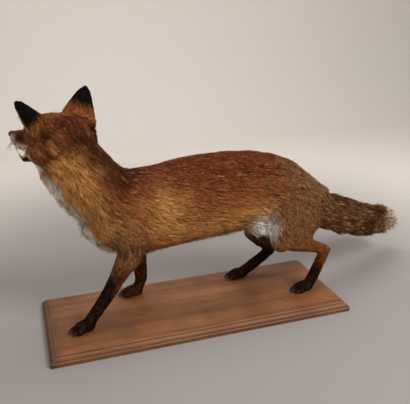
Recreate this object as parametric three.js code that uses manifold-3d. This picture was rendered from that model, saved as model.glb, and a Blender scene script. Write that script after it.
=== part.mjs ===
// A life-size taxidermy red fox on a moulded board. It stands in mid-stride with its jaws parted and its
// head turned away over its right shoulder. Millimetres, +Z up. The origin is the centre of the board's
// underside, the fox's body faces -X, and its left side is -Y.
import * as THREE from "three";
import { mergeVertices } from "three/addons/utils/BufferGeometryUtils.js";
import Module from "manifold-3d";

const wasm = await Module();
wasm.setup();

// ---------------------------------------------------------------- driving dimensions
const GAP = 0.3; // clearance between two pieces that touch
const FACET = 1.2; // the coat's facets may stray this far from the lofted surfaces
const REACH = 900; // half the side of a cutting block, past the whole model

const BOARD = { length: 700, width: 266, height: 20, corner: 5 };
const SOLE = BOARD.height + GAP; // the level that the paws stand on
const MID = 20; // y of the fox's own mid-plane, a little behind the board's

// The trunk from the tail root to the breast. top is the back's level, low the belly's, and side is half
// the width.
const TRUNK = [
  { x: 352, top: 257, low: 222, side: 26 },
  { x: 322, top: 283, low: 206, side: 44 },
  { x: 282, top: 313, low: 196, side: 60 },
  { x: 215, top: 354, low: 187, side: 69 },
  { x: 140, top: 374, low: 183, side: 68 },
  { x: 55, top: 377, low: 178, side: 72 },
  { x: -30, top: 370, low: 171, side: 76 },
  { x: -100, top: 362, low: 162, side: 77 },
  { x: -158, top: 361, low: 155, side: 73 },
  { x: -208, top: 312, low: 172, side: 62 },
  { x: -243, top: 270, low: 212, side: 38 },
];

// The neck with its ruff, from between the shoulders to the back of the skull.
const NECK = [
  { at: [-158, MID, 278], side: 62, up: 74, down: 86 },
  { at: [-207, MID, 318], side: 66, up: 72, down: 81 },
  { at: [-240, MID + 1, 358], side: 65, up: 71, down: 76 },
  { at: [-264, MID + 3, 398], side: 64, up: 70, down: 73 },
  { at: [-276, MID + 4, 430], side: 57, up: 62, down: 64 },
];

// The brush, which droops from the rump and swings away to the fox's right.
const TAIL = [
  { at: [322, MID, 238], side: 28, up: 26 },
  { at: [360, MID + 6, 208], side: 42, up: 46 },
  { at: [395, MID + 18, 185], side: 46, up: 50 },
  { at: [440, MID + 34, 163], side: 50, up: 51 },
  { at: [495, MID + 56, 139], side: 50, up: 50 },
  { at: [550, MID + 80, 121], side: 46, up: 47 },
  { at: [603, MID + 104, 108], side: 37, up: 38 },
  { at: [640, MID + 121, 97], side: 22, up: 23 },
];

// Each leg's joints as it stands: forelegs by shoulder, elbow and wrist, hind legs by hip, stifle and hock.
// foot is the heel's place on the board and turn the way that the paw points, in degrees from -X.
const FORELEGS = {
  left: {
    shoulder: [-150, -18, 268], elbow: [-152, -36, 188], wrist: [-212, -38, 96],
    foot: [-250, -42], turn: 10,
  },
  right: {
    shoulder: [-142, 58, 266], elbow: [-120, 76, 170], wrist: [-112, 80, 64],
    foot: [-116, 78], turn: 0,
  },
};
const HINDLEGS = {
  left: { hip: [262, -4, 258], stifle: [205, -32, 172], hock: [328, -35, 124], foot: [292, -36], turn: 4 },
  right: { hip: [258, 44, 255], stifle: [186, 78, 152], hock: [238, 82, 84], foot: [162, 80], turn: 0 },
};
const PAW = { length: 50, width: 38, height: 24, toeRadius: 8, claw: 11 };

const HEAD = { at: [-291, 24, 446], turn: 52, pitch: -1.7, roll: -0.6 };
const EYE = { radius: 8.6, at: [-54, 23, 9] };
const NOSE = { at: [-129, 0, -11], half: [7, 9.5, 8] };
const JAW = { hinge: [-28, -38], open: 17 }; // hinge by x and z
// The skull with its coat, in the head's own frame: the nose points along -X.
const SKULL = [
  { x: 62, top: 20, low: -42, side: 42 },
  { x: 35, top: 40, low: -50, side: 54 },
  { x: 2, top: 47, low: -50, side: 57 },
  { x: -24, top: 42, low: -46, side: 48 },
  { x: -42, top: 30, low: -40, side: 36 },
  { x: -60, top: 13, low: -37, side: 26 },
  { x: -82, top: 5, low: -35, side: 20 },
  { x: -106, top: 1, low: -34, side: 17 },
  { x: -125, top: -3, low: -29, side: 12 },
];
const CHEEK = { at: [8, 37, -26], half: [42, 31, 32], turn: 20 };
const LIP = { at: [-92, 10, -29], half: [30, 9, 11], turn: 8 };
const BROW = { at: [-42, 19, 19], half: [18, 11, 9], turn: 22 };
// Each ear by its base's inner and outer ends and its tip, y counted outward from the middle of the head.
const EAR = {
  left: { inner: [4, 20, 38], outer: [26, 70, 4], tip: [4, 85, 79] },
  right: { inner: [2, 20, 38], outer: [44, 78, 6], tip: [19, 84, 89] },
  cup: 24,
  thick: 8,
  tipRadius: 9.5,
};
const TONGUE = { at: [-76, 0, -32.4], half: [17, 7.5, 2.8] };
const TOOTH = { canine: 15, root: 3.1, incisor: 5, premolar: 6 };

// ---------------------------------------------------------------- solids
const vector = (p) => new THREE.Vector3(...p);
const radians = THREE.MathUtils.degToRad;

// A closed geometry through rings of equally many points, with each end closed by a zigzag across its ring.
function loft(rings) {
  const count = rings[0].length;
  const faces = [];
  const corner = (ring, i) => ring * count + (i % count);
  for (let r = 0; r + 1 < rings.length; r++)
    for (let i = 0; i < count; i++) {
      faces.push(corner(r, i), corner(r, i + 1), corner(r + 1, i + 1));
      faces.push(corner(r, i), corner(r + 1, i + 1), corner(r + 1, i));
    }
  for (const ring of [0, rings.length - 1])
    for (let low = 0, high = count - 1; low + 1 < high; low++, high--) {
      const pair = [[low, high, low + 1]];
      if (low + 2 < high) pair.push([low + 1, high, high - 1]);
      for (const [a, b, c] of pair) {
        const turned = ring === 0 ? [a, b, c] : [a, c, b];
        faces.push(...turned.map((i) => corner(ring, i)));
      }
    }
  return new THREE.BufferGeometry().setFromPoints(rings.flat()).setIndex(faces);
}

// A three.js geometry as a manifold-3d solid, turned right side out.
function solid(geometry, matrix = new THREE.Matrix4()) {
  const bare = geometry.clone().applyMatrix4(matrix);
  for (const name of Object.keys(bare.attributes)) if (name !== "position") bare.deleteAttribute(name);
  const merged = mergeVertices(bare, 1e-3);
  const triVerts = new Uint32Array(merged.index.array);
  const vertProperties = new Float32Array(merged.attributes.position.array);
  const made = new wasm.Manifold(new wasm.Mesh({ numProp: 3, vertProperties, triVerts }));
  if (made.volume() > 0) return made;
  for (let i = 0; i < triVerts.length; i += 3) triVerts.subarray(i + 1, i + 3).reverse();
  return new wasm.Manifold(new wasm.Mesh({ numProp: 3, vertProperties, triVerts }));
}

const union = (...solids) => solids.flat().reduce((all, one) => all.add(one));

// A limb, trunk, neck or tail: ovals along a smooth line through the stations.
// side is half the oval's width along the y axis; up and down are its half-heights across the line.
function body(stations, { sides = 14, steps = 12, round = 0.5 } = {}) {
  const line = new THREE.CatmullRomCurve3(stations.map(({ at }) => vector(at)), false, "centripetal");
  const widths = stations.map(({ side, up = side, down = up }) => new THREE.Vector3(side, up, down));
  const sizes = new THREE.CatmullRomCurve3(widths, false, "centripetal");
  const ring = (t, scale, push) => {
    const aim = line.getTangent(t);
    const wide = new THREE.Vector3(0, 1, 0).addScaledVector(aim, -aim.y).normalize();
    const high = new THREE.Vector3().crossVectors(wide, aim);
    const size = sizes.getPoint(t).multiplyScalar(scale);
    const middle = line.getPoint(t).addScaledVector(aim, push * size.x * round);
    return Array.from({ length: sides }, (_, i) => {
      const angle = (2 * Math.PI * i) / sides;
      const lift = Math.sin(angle);
      return middle.clone()
        .addScaledVector(wide, Math.cos(angle) * size.x)
        .addScaledVector(high, lift * (lift > 0 ? size.y : size.z));
    });
  };
  const rings = [ring(0, 0.45, -2), ring(0, 0.82, -0.7)];
  for (let i = 0; i <= steps; i++) rings.push(ring(i / steps, 1, 0));
  rings.push(ring(1, 0.82, 0.7), ring(1, 0.45, 2));
  return solid(loft(rings));
}

// A body given by its levels above and below along x.
function levelBody(levels, y, options) {
  return body(levels.map(({ x, top, low, side }) => {
    const widest = low + 0.5 * (top - low);
    return { at: [x, y, widest], side, up: top - widest, down: widest - low };
  }), options);
}

// A ball stretched to three half-axes, turned about z and placed.
function ball(at, half, turn = 0, detail = [10, 7]) {
  const spin = new THREE.Quaternion().setFromAxisAngle(new THREE.Vector3(0, 0, 1), radians(turn));
  const place = new THREE.Matrix4().compose(vector(at), spin, vector(half));
  return solid(new THREE.SphereGeometry(1, ...detail), place);
}

// A cone from a base point to a tip: a tooth or a claw.
function spike(from, to, radius) {
  const axis = vector(to).sub(vector(from));
  const aim = axis.clone().normalize();
  const turn = new THREE.Quaternion().setFromUnitVectors(new THREE.Vector3(0, 1, 0), aim);
  const middle = vector(from).addScaledVector(axis, 0.5);
  const matrix = new THREE.Matrix4().compose(middle, turn, new THREE.Vector3(1, 1, 1));
  return solid(new THREE.ConeGeometry(radius, axis.length(), 3), matrix);
}

// A large block that extends from the face through a point in the direction along. grow moves the face back.
function block(point, along, grow = 0) {
  const aim = vector(along).normalize();
  const turn = new THREE.Quaternion().setFromUnitVectors(new THREE.Vector3(0, 0, 1), aim);
  const middle = vector(point).addScaledVector(aim, REACH - grow);
  const matrix = new THREE.Matrix4().compose(middle, turn, new THREE.Vector3(1, 1, 1));
  return solid(new THREE.BoxGeometry(2 * REACH, 2 * REACH, 2 * REACH), matrix);
}

// Cuts away from a body what lies on the far side of every face, and leaves a thin gap.
// A face is { at, along }. Returns [piece, remainder].
function part(whole, ...faces) {
  const blocks = (grow) => faces.map(({ at, along }) => block(at, along, grow));
  const region = (grow) => blocks(grow).reduce((a, b) => a.intersect(b));
  return [whole.intersect(region(0)), whole.subtract(region(GAP))];
}

// The largest of a solid's separate bodies.
const largest = (made) => made.decompose().reduce((a, b) => (a.volume() > b.volume() ? a : b));

const matrixOf = (matrix) => [...matrix.elements];

// ---------------------------------------------------------------- the board
// A rounded rectangle, inset from the board's outline, at one level.
function boardRing(inset, z) {
  const radius = Math.max(1.5, BOARD.corner - inset * 0.3);
  const ring = [];
  for (let q = 0; q < 4; q++) {
    const cx = (q === 0 || q === 3 ? 1 : -1) * (BOARD.length / 2 - inset - radius);
    const cy = (q < 2 ? 1 : -1) * (BOARD.width / 2 - inset - radius);
    for (let i = 0; i <= 3; i++) {
      const a = ((q + i / 3) * Math.PI) / 2;
      ring.push(new THREE.Vector3(cx + radius * Math.cos(a), cy + radius * Math.sin(a), z));
    }
  }
  return ring;
}

// From the floor up: a square edge, a fillet, a quarter-round, and a small step up to the flat top.
function boardSolid() {
  const rings = [boardRing(1, 0), boardRing(0, 1), boardRing(0, 9), boardRing(1, 10), boardRing(3.5, 10)];
  const ovolo = 7;
  for (let i = 0; i <= 4; i++) {
    const a = (i / 4) * (Math.PI / 2);
    rings.push(boardRing(3.5 + ovolo * (1 - Math.cos(a)), 10.2 + ovolo * Math.sin(a)));
  }
  rings.push(boardRing(12.5, 17.2), boardRing(12.8, 19.4), boardRing(13.6, BOARD.height));
  return solid(loft(rings));
}

// ---------------------------------------------------------------- legs
// A paw with four toes and their claws, its heel at the given place.
function pawSolid({ foot, turn }) {
  const { length, width, height, toeRadius, claw } = PAW;
  const parts = [
    ball([-length * 0.28, 0, height * 0.42], [length * 0.46, width * 0.44, height * 0.52], 0, [8, 5]),
  ];
  for (const lane of [-1, -0.36, 0.36, 1]) {
    const reach = length - toeRadius * (1.3 + 1.0 * lane ** 2);
    const y = lane * (width / 2 - toeRadius * 0.8);
    const toeHalf = [toeRadius * 1.5, toeRadius, toeRadius * 1.1];
    parts.push(ball([-reach, y, toeRadius * 0.95], toeHalf, -lane * 10, [6, 3]));
    const root = -reach - toeRadius;
    parts.push(spike([root, y, toeRadius * 1.1], [root - claw, y + lane * 2, toeRadius * 0.35], 2.2));
  }
  const place = new THREE.Matrix4().makeTranslation(foot[0], foot[1], SOLE - 1.5)
    .multiply(new THREE.Matrix4().makeRotationZ(radians(turn)));
  return union(parts).transform(matrixOf(place));
}

// The point a share of the way from a to b.
const between = (a, b, share) => vector(a).lerp(vector(b), share).toArray();

function foreleg({ shoulder, elbow, wrist, foot, turn }) {
  const ankle = [foot[0] - 2, foot[1], SOLE + 24];
  const leg = body([
    { at: between(shoulder, elbow, 0.3), side: 35, up: 52, down: 46 },
    { at: elbow, side: 25, up: 36, down: 30 },
    { at: between(elbow, wrist, 0.35), side: 19, up: 25, down: 22 },
    { at: between(elbow, wrist, 0.72), side: 15.5, up: 18, down: 18 },
    { at: wrist, side: 15, up: 16, down: 17 },
    { at: between(wrist, ankle, 0.55), side: 14, up: 14, down: 15 },
    { at: ankle, side: 15, up: 14 },
    { at: [foot[0] - 10, foot[1], SOLE + 12], side: 16, up: 13 },
  ], { sides: 9, steps: 10 });
  return union(leg, pawSolid({ foot, turn }));
}

function hindleg({ hip, stifle, hock, foot, turn }) {
  const thigh = body([
    { at: hip, side: 40, up: 54, down: 66 },
    { at: between(hip, stifle, 0.5), side: 39, up: 56, down: 89 },
    { at: between(hip, stifle, 0.8), side: 34, up: 46, down: 78 },
    { at: stifle, side: 27, up: 36, down: 46 },
  ], { sides: 11, steps: 5, round: 0.6 });
  const shank = body([
    { at: between(stifle, hock, -0.05), side: 27, up: 34 },
    { at: between(stifle, hock, 0.38), side: 21, up: 27, down: 25 },
    { at: between(stifle, hock, 0.75), side: 14, up: 17, down: 15 },
    { at: hock, side: 12.5, up: 14 },
  ], { sides: 9, steps: 5 });
  const metatarsus = body([
    { at: [hock[0] + 3, hock[1], hock[2] + 4], side: 13, up: 14 },
    { at: between(hock, [...foot, SOLE + 16], 0.35), side: 13, up: 15 },
    { at: between(hock, [...foot, SOLE + 16], 0.75), side: 14, up: 15 },
    { at: [foot[0] - 6, foot[1], SOLE + 13], side: 16, up: 13 },
  ], { sides: 9, steps: 4 });
  return union(thigh, shank, metatarsus, pawSolid({ foot, turn }));
}

// ---------------------------------------------------------------- head, in its own frame
function skullSolid() {
  const pair = ({ at, half, turn }, detail) =>
    [-1, 1].map((s) => ball([at[0], s * at[1], at[2]], half, s * turn, detail));
  const skull = levelBody(SKULL, 0, { sides: 14, steps: 13, round: 0.35 });
  return union(skull, pair(CHEEK, [10, 7]), pair(LIP, [8, 5]), pair(BROW, [8, 5]));
}

// The lower jaw with its chin, opened about the hinge.
function jawSolid() {
  const jaw = body([
    { at: [16, 0, -48], side: 36, up: 20, down: 20 },
    { at: [-25, 0, -46], side: 25, up: 10, down: 16 },
    { at: [-60, 0, -43], side: 15, up: 6, down: 12 },
    { at: [-90, 0, -41], side: 11, up: 5, down: 9 },
    { at: [-103, 0, -40], side: 8.5, up: 4.5, down: 7 },
  ], { sides: 12, steps: 8 });
  return union(jaw, lowerTeeth()).transform(matrixOf(jawTurn()));
}

// The turn that opens the lower jaw about its hinge.
function jawTurn() {
  const hinge = [JAW.hinge[0], 0, JAW.hinge[1]];
  return new THREE.Matrix4().makeTranslation(...hinge)
    .multiply(new THREE.Matrix4().makeRotationY(radians(-JAW.open)))
    .multiply(new THREE.Matrix4().makeTranslation(...hinge.map((v) => -v)));
}

function upperTeeth() {
  const { canine, root, incisor, premolar } = TOOTH;
  const teeth = [];
  for (const s of [-1, 1]) {
    teeth.push(spike([-108, s * 10, -28], [-105, s * 11, -31 - canine], root));
    for (const y of [2, 6]) {
      const x = -123 + y * 0.4;
      teeth.push(spike([x, s * y, -24], [x, s * y, -28 - incisor], 2.2));
    }
    for (const x of [-92, -76]) {
      const y = s * (13 + (x + 94) * 0.16);
      teeth.push(spike([x, y, -30], [x + 1, y, -37 - premolar], 4));
    }
  }
  return union(teeth);
}

function lowerTeeth() {
  const { canine, root, incisor, premolar } = TOOTH;
  const teeth = [];
  for (const s of [-1, 1]) {
    teeth.push(spike([-102, s * 6.5, -39], [-104, s * 8.5, -38 + canine], root));
    teeth.push(spike([-107.5, s * 2.3, -39], [-109, s * 2.3, -37 + incisor], 2.3));
    for (const x of [-86, -71]) {
      const y = s * (8.5 + (x + 88) * 0.15);
      teeth.push(spike([x, y, -39], [x, y, -36 + premolar], 4));
    }
  }
  return union(teeth);
}

// A cupped ear: crescents across the line from the middle of its base to its tip, narrowing to a blunt point.
function earSolid(side) {
  const s = side === "left" ? -1 : 1;
  const [inner, outer, tip] = ["inner", "outer", "tip"].map((end) => {
    const [x, y, z] = EAR[side][end];
    return new THREE.Vector3(x, s * y, z);
  });
  const base = inner.clone().lerp(outer, 0.5);
  const wide = outer.clone().sub(inner).normalize();
  const back = new THREE.Vector3().crossVectors(wide, tip.clone().sub(base)).normalize();
  if (back.x < 0) back.negate();
  const baseHalf = inner.distanceTo(outer) / 2;
  const rows = 8;
  const across = 6;
  const rings = [];
  for (let r = -1; r <= rows; r++) {
    const t = r / rows;
    const rise = Math.max(t, 0);
    const half = (baseHalf - EAR.tipRadius) * (1 - rise) + EAR.tipRadius * Math.sqrt(1 - 0.94 * rise ** 6);
    const cup = EAR.cup * (1 - rise) + 1;
    const wall = EAR.thick * (1 - 0.55 * rise);
    const middle = base.clone().lerp(tip, t);
    const edge = (a, inset) => middle.clone()
      .addScaledVector(wide, a * (half - inset * 0.4))
      .addScaledVector(back, cup * (1 - a * a) - inset);
    const ring = [];
    for (let i = 0; i <= across; i++) ring.push(edge(-1 + (2 * i) / across, 0));
    for (let i = across; i >= 0; i--) ring.push(edge(-1 + (2 * i) / across, wall));
    rings.push(ring);
  }
  return solid(loft(rings));
}

// The tongue lies along the lower jaw, behind its front teeth.
const tongueSolid = () => ball(TONGUE.at, TONGUE.half, 0, [8, 4]).transform(matrixOf(jawTurn()));

// ---------------------------------------------------------------- materials and the group
const finish = (color, roughness) => new THREE.MeshStandardMaterial({ color, roughness, metalness: 0 });
const MATERIAL = {
  wood: finish(0x7d5030, 0.5),
  ginger: finish(0x8a4f28, 0.9),
  grizzle: finish(0x7a5a40, 0.9),
  stocking: finish(0x1f1813, 0.85),
  cream: finish(0xc9bfae, 0.9),
  nose: finish(0x14110f, 0.4),
  glass: finish(0x5a3410, 0.08),
  tongue: finish(0x9a4a42, 0.5),
};

const fox = new THREE.Group();
fox.name = "taxidermy_red_fox";
const head = new THREE.Group();
head.name = "head_group";
head.position.set(...HEAD.at);
head.rotation.set(radians(HEAD.roll), radians(HEAD.pitch), radians(-HEAD.turn), "ZYX");
fox.add(head);
fox.updateMatrixWorld(true);
const headToFox = matrixOf(head.matrixWorld);
const foxToHead = matrixOf(head.matrixWorld.clone().invert());

// Adds one named piece to a group, in that group's own frame.
function addPiece(name, made, material, group = fox) {
  const one = largest(made.simplify(0.4 * GAP));
  const { numProp, numVert, vertProperties, triVerts } = one.getMesh();
  const points = new Float32Array(numVert * 3);
  for (let i = 0; i < numVert; i++) {
    points.set(vertProperties.subarray(i * numProp, i * numProp + 3), i * 3);
  }
  const geometry = new THREE.BufferGeometry()
    .setAttribute("position", new THREE.BufferAttribute(points, 3))
    .setIndex(new THREE.BufferAttribute(triVerts, 1));
  geometry.computeVertexNormals();
  const mesh = new THREE.Mesh(geometry, material);
  mesh.name = name;
  group.add(mesh);
}

// ---------------------------------------------------------------- the fox, made whole and then parted
const floorBlock = block([0, 0, SOLE], [0, 0, -1]);
let whole = union(
  levelBody(TRUNK, MID, { sides: 16, steps: 15 }),
  body(NECK, { sides: 16, steps: 8 }),
  body(TAIL, { sides: 14, steps: 10 }),
  Object.values(FORELEGS).map(foreleg),
  Object.values(HINDLEGS).map(hindleg),
  union(skullSolid(), jawSolid()).transform(headToFox),
).subtract(floorBlock).simplify(FACET);

addPiece("base_board", boardSolid(), MATERIAL.wood);

// The head leaves the neck behind the cheeks; the lower jaw, ears, eyes and nose leave the head.
let piece;
[piece, whole] = part(whole, { at: [-262, 24, 416], along: [-0.5, 0.32, 0.8] });
let skull = largest(piece).transform(foxToHead);
const sockets = [-1, 1].map((s) => [EYE.at[0], s * EYE.at[1], EYE.at[2]]);
const eyeHalf = [EYE.radius, EYE.radius, EYE.radius];
const grown = (half) => half.map((v) => v + GAP);
const ears = ["left", "right"].map(earSolid);
skull = union(skull, upperTeeth(), ears);
skull = skull.subtract(union(sockets.map((at) => ball(at, grown(eyeHalf)))));
skull = skull.subtract(ball(NOSE.at, grown(NOSE.half)));
[piece, skull] = part(skull,
  { at: [-90, 0, -51], along: [0.15, 0, -1] }, { at: [-30, 0, -40], along: [-1, 0, 0] });
addPiece("lower_jaw", piece, MATERIAL.cream, head);
addPiece("tongue", tongueSolid(), MATERIAL.tongue, head);
for (const [i, s] of [-1, 1].entries()) {
  [piece, skull] = part(skull, { at: [10, s * 45, 30], along: [0, s * 0.62, 0.78] });
  addPiece(i ? "ear_right" : "ear_left", piece, MATERIAL.stocking, head);
}
addPiece("head", skull, MATERIAL.ginger, head);
sockets.forEach((at, i) => addPiece(i ? "eye_right" : "eye_left", ball(at, eyeHalf), MATERIAL.glass, head));
addPiece("nose", ball(NOSE.at, NOSE.half), MATERIAL.nose, head);

[piece, whole] = part(whole, { at: [-190, MID, 300], along: [-0.73, 0, 0.685] });
addPiece("neck", piece, MATERIAL.ginger);

// The tail in two lengths. The second face keeps the cut above the left hock.
[piece, whole] = part(whole,
  { at: [348, MID, 240], along: [0.9, 0.2, -0.4] }, { at: [400, MID, 140], along: [0.3, 0.4, 0.87] });
const [tailTip, tailRoot] = part(piece, { at: [560, MID + 84, 118], along: [0.88, 0.4, -0.2] });
addPiece("tail", tailRoot, MATERIAL.grizzle);
addPiece("tail_tip", tailTip, MATERIAL.cream);

// Each leg leaves the trunk along a plane that rises outward from the mid-plane, and divides at its joints.
for (const [side, s] of [["left", -1], ["right", 1]]) {
  const ownSide = { at: [0, MID + s * GAP, 0], along: [0, s, 0] };
  const { elbow, wrist, foot } = FORELEGS[side];
  const [foreleg, afterFore] = part(whole, ownSide,
    { at: [0, MID, 134], along: [0, s * 0.72, -0.69] }, { at: [-84, 0, 0], along: [-1, 0, 0] });
  const [forearm, shoulder] = part(foreleg, { at: elbow, along: [-0.35, 0, -0.94] });
  const pastern = between(wrist, [...foot, SOLE], 0.5);
  const [forepaw, forelegLower] = part(forearm, { at: pastern, along: [-0.3, 0, -1] });
  addPiece(`foreleg_${side}_upper`, shoulder, MATERIAL.ginger);
  addPiece(`foreleg_${side}_lower`, forelegLower, MATERIAL.stocking);
  addPiece(`forepaw_${side}`, forepaw, MATERIAL.stocking);

  const { stifle, hock, foot: heel } = HINDLEGS[side];
  const [hindleg, afterHind] = part(afterFore, ownSide,
    { at: [0, MID, 168], along: [0, s * 0.78, -0.62] },
    { at: [stifle[0] - 52, 0, 200], along: [1, 0, -0.3] });
  const metatarsus = between(hock, [...heel, SOLE], 0.3);
  const [hindpaw, upperLeg] = part(hindleg, { at: metatarsus, along: [-0.1, 0, -1] });
  const [shank, thigh] = part(upperLeg, { at: between(stifle, hock, 0.33), along: [0.93, 0, -0.37] });
  addPiece(`hindleg_${side}_thigh`, thigh, MATERIAL.grizzle);
  addPiece(`hindleg_${side}_shank`, shank, MATERIAL.ginger);
  addPiece(`hindpaw_${side}`, hindpaw, MATERIAL.stocking);
  whole = afterHind;
}
addPiece("trunk", whole, MATERIAL.ginger);
export default fox;
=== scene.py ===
"""A life-size taxidermy red fox on its moulded board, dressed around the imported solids.

One skin stands for all the nodes of flesh and lies inside them by the coat's depth. The coat is built over
it in tufts that follow the lie of the hair. Sizes in the classes are millimetres, in the row's own frame:
+X towards the tail, +Y towards the fox's right side, +Z up. The meshes are made in metres.
"""

import logging
import math
from dataclasses import dataclass, field
from enum import Enum

import bpy
import numpy as np
from mathutils import Euler, Matrix, Vector
from mathutils.bvhtree import BVHTree
from mathutils.kdtree import KDTree


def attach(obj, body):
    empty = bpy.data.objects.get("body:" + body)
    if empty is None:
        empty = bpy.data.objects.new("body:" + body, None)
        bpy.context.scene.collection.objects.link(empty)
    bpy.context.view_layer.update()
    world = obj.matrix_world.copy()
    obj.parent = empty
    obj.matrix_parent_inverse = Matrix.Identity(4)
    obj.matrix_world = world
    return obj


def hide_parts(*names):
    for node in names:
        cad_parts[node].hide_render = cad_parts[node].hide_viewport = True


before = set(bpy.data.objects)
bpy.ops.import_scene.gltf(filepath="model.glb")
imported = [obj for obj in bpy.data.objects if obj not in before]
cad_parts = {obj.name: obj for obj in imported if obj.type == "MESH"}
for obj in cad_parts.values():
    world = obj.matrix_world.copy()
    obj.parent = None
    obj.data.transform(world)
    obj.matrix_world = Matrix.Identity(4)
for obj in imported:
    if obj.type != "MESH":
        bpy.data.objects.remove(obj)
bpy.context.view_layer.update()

MM = 0.001
BODY = "root"
Array = np.ndarray
Draws = np.random.Generator
Piece = bpy.types.Object
Finish = bpy.types.Material
Tree = bpy.types.NodeTree
log = logging.getLogger("fox")


class Side(Enum):
    """The fox's own sides, as the sign of y."""

    LEFT = -1
    RIGHT = 1

    @property
    def word(self) -> str:
        """The side's name as the nodes spell it."""
        return self.name.lower()

    @property
    def flip(self) -> Array:
        """Turns a place whose y is counted outward into one with the side's own sign."""
        return np.array([1, self.value, 1])


# ---- number helpers
def unit(v: Array) -> Array:
    """Vectors of length one along the last axis."""
    return v / np.maximum(np.linalg.norm(v, axis=-1, keepdims=True), 1e-12)


def length(v: Array) -> Array:
    """The length of each row."""
    return np.linalg.norm(v, axis=1)


def ramp(x: Array, low: float, high: float) -> Array:
    """A smooth step that is 0 at low and beyond it, and 1 at high, which may be below low."""
    t = np.clip((x - low) / (high - low), 0, 1)
    return t * t * (3 - 2 * t)


def spot(p: Array, at: tuple, reach: tuple) -> Array:
    """A soft spot that is 1 at a point and has faded to about a third at the ends of its half-axes."""
    return np.exp(-(((p - np.array(at)) / np.array(reach)) ** 2).sum(1))


def ripple(p: Array, size: float, seed: int, waves: int = 9) -> Array:
    """Smooth noise made of plane waves.

    Args:
        p: points (n, 3) in millimetres.
        size: the rough size of its patches in millimetres.
        seed: picks the waves.
        waves: how many are added.
    Returns:
        Values of about -1 to 1.
    """
    rng = np.random.default_rng(seed)
    ways = unit(rng.normal(size=(waves, 3))) * rng.uniform(0.7, 1.4, (waves, 1)) * (math.pi / size)
    return np.sin(p @ ways.T + rng.uniform(0, 2 * math.pi, waves)).sum(1) / math.sqrt(waves)


def mixed(a: Array, b: Array, share: Array) -> Array:
    """Vectors between a and b, by each row's share of b."""
    return a * (1 - share[:, None]) + b * share[:, None]


def tangent(v: Array, normal: Array) -> Array:
    """v laid into the surface that has those normals."""
    return unit(v - (v * normal).sum(1, keepdims=True) * normal)


def turns(count: int) -> Array:
    """So many angles, evenly round a circle."""
    return np.linspace(0, 2 * math.pi, count, endpoint=False)


# ---- mesh helpers
@dataclass
class Surface:
    """A mesh as arrays: points in millimetres, and faces that all have the same number of corners."""

    points: Array
    faces: Array

    def normals(self) -> Array:
        """Vertex normals, weighted by area."""
        a, b, c = (self.points[self.faces[:, i]] for i in (0, 1, 2))
        d = self.points[self.faces[:, -1]]
        face = np.cross(c - a, d - b) if self.faces.shape[1] == 4 else np.cross(b - a, c - a)
        total = np.zeros_like(self.points)
        for i in range(self.faces.shape[1]):
            for axis in range(3):
                total[:, axis] += np.bincount(self.faces[:, i], face[:, axis], len(self.points))
        return unit(total)

    def edges(self) -> Array:
        """Each edge once, as a pair of vertex numbers."""
        corners = self.faces.shape[1]
        pairs = np.concatenate([self.faces[:, [i, (i + 1) % corners]] for i in range(corners)])
        return np.unique(np.sort(pairs, 1), axis=0)


def averaged(values: Array, edges: Array, rounds: int, share: Array | float = 0.5) -> Array:
    """Values moved towards the mean of their neighbours.

    Args:
        values: one row for each vertex.
        edges: pairs of vertices.
        rounds: how often.
        share: how far a value moves each round, for all or for each vertex.
    Returns:
        The smoothed values.
    """
    out = np.array(values, float).reshape(len(values), -1)
    a, b = edges.T
    count = np.maximum(np.bincount(np.concatenate([a, b]), minlength=len(out)), 1)
    share = np.broadcast_to(share, len(out))
    for _ in range(rounds):
        for k in range(out.shape[1]):
            column = out[:, k]
            near = np.bincount(a, column[b], len(out)) + np.bincount(b, column[a], len(out))
            out[:, k] += share * (near / count - column)
    return out.reshape(np.shape(values))


def mesh_object(name: str, surface: Surface, finish: Finish) -> Piece:
    """A smooth-shaded Blender object of a surface.

    Args:
        name: the object's name.
        surface: its mesh in millimetres.
        finish: its material.
    Returns:
        The linked object.
    """
    mesh = bpy.data.meshes.new(name)
    faces, corners = surface.faces.shape
    mesh.vertices.add(len(surface.points))
    mesh.vertices.foreach_set("co", (surface.points * MM).astype(np.float32).ravel())
    mesh.loops.add(faces * corners)
    mesh.loops.foreach_set("vertex_index", surface.faces.astype(np.int32).ravel())
    mesh.polygons.add(faces)
    mesh.polygons.foreach_set("loop_start", np.arange(0, faces * corners, corners, dtype=np.int32))
    mesh.update(calc_edges=True)
    mesh.polygons.foreach_set("use_smooth", np.full(faces, True))
    mesh.materials.append(finish)
    thing = bpy.data.objects.new(name, mesh)
    bpy.context.scene.collection.objects.link(thing)
    return thing


def read(items, name: str, size: int, kind: type = float) -> Array:
    """A property of all of a mesh's vertices, corners or triangles, with so many numbers to each."""
    values = np.zeros(len(items) * size, kind)
    items.foreach_get(name, values)
    return values.reshape(-1, size)


def give(thing: Piece, name: str, values: Array) -> None:
    """Stores a number or a vector for each vertex, for the materials to read."""
    kind, key = ("FLOAT", "value") if values.ndim == 1 else ("FLOAT_VECTOR", "vector")
    thing.data.attributes.new(name, kind, "POINT").data.foreach_set(key, values.astype(np.float32).ravel())


def settle(thing: Piece, slot: str, *nodes: str) -> Piece:
    """Fixes a piece to the mount, and hides the nodes that it stands for.

    Args:
        thing: the piece.
        slot: not used.
        nodes: the nodes that it replaces.
    Returns:
        The piece.
    """
    log.info("%s: %d faces", thing.name, len(thing.data.polygons))
    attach(thing, BODY)
    if nodes:
        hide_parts(*nodes)
    return thing


def joined(parts: list[Surface]) -> Surface:
    """Several surfaces with the same kind of face as one."""
    starts = np.cumsum([0] + [len(s.points) for s in parts[:-1]])
    return Surface(np.concatenate([s.points for s in parts]),
                   np.concatenate([s.faces + n for s, n in zip(parts, starts)]))


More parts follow.
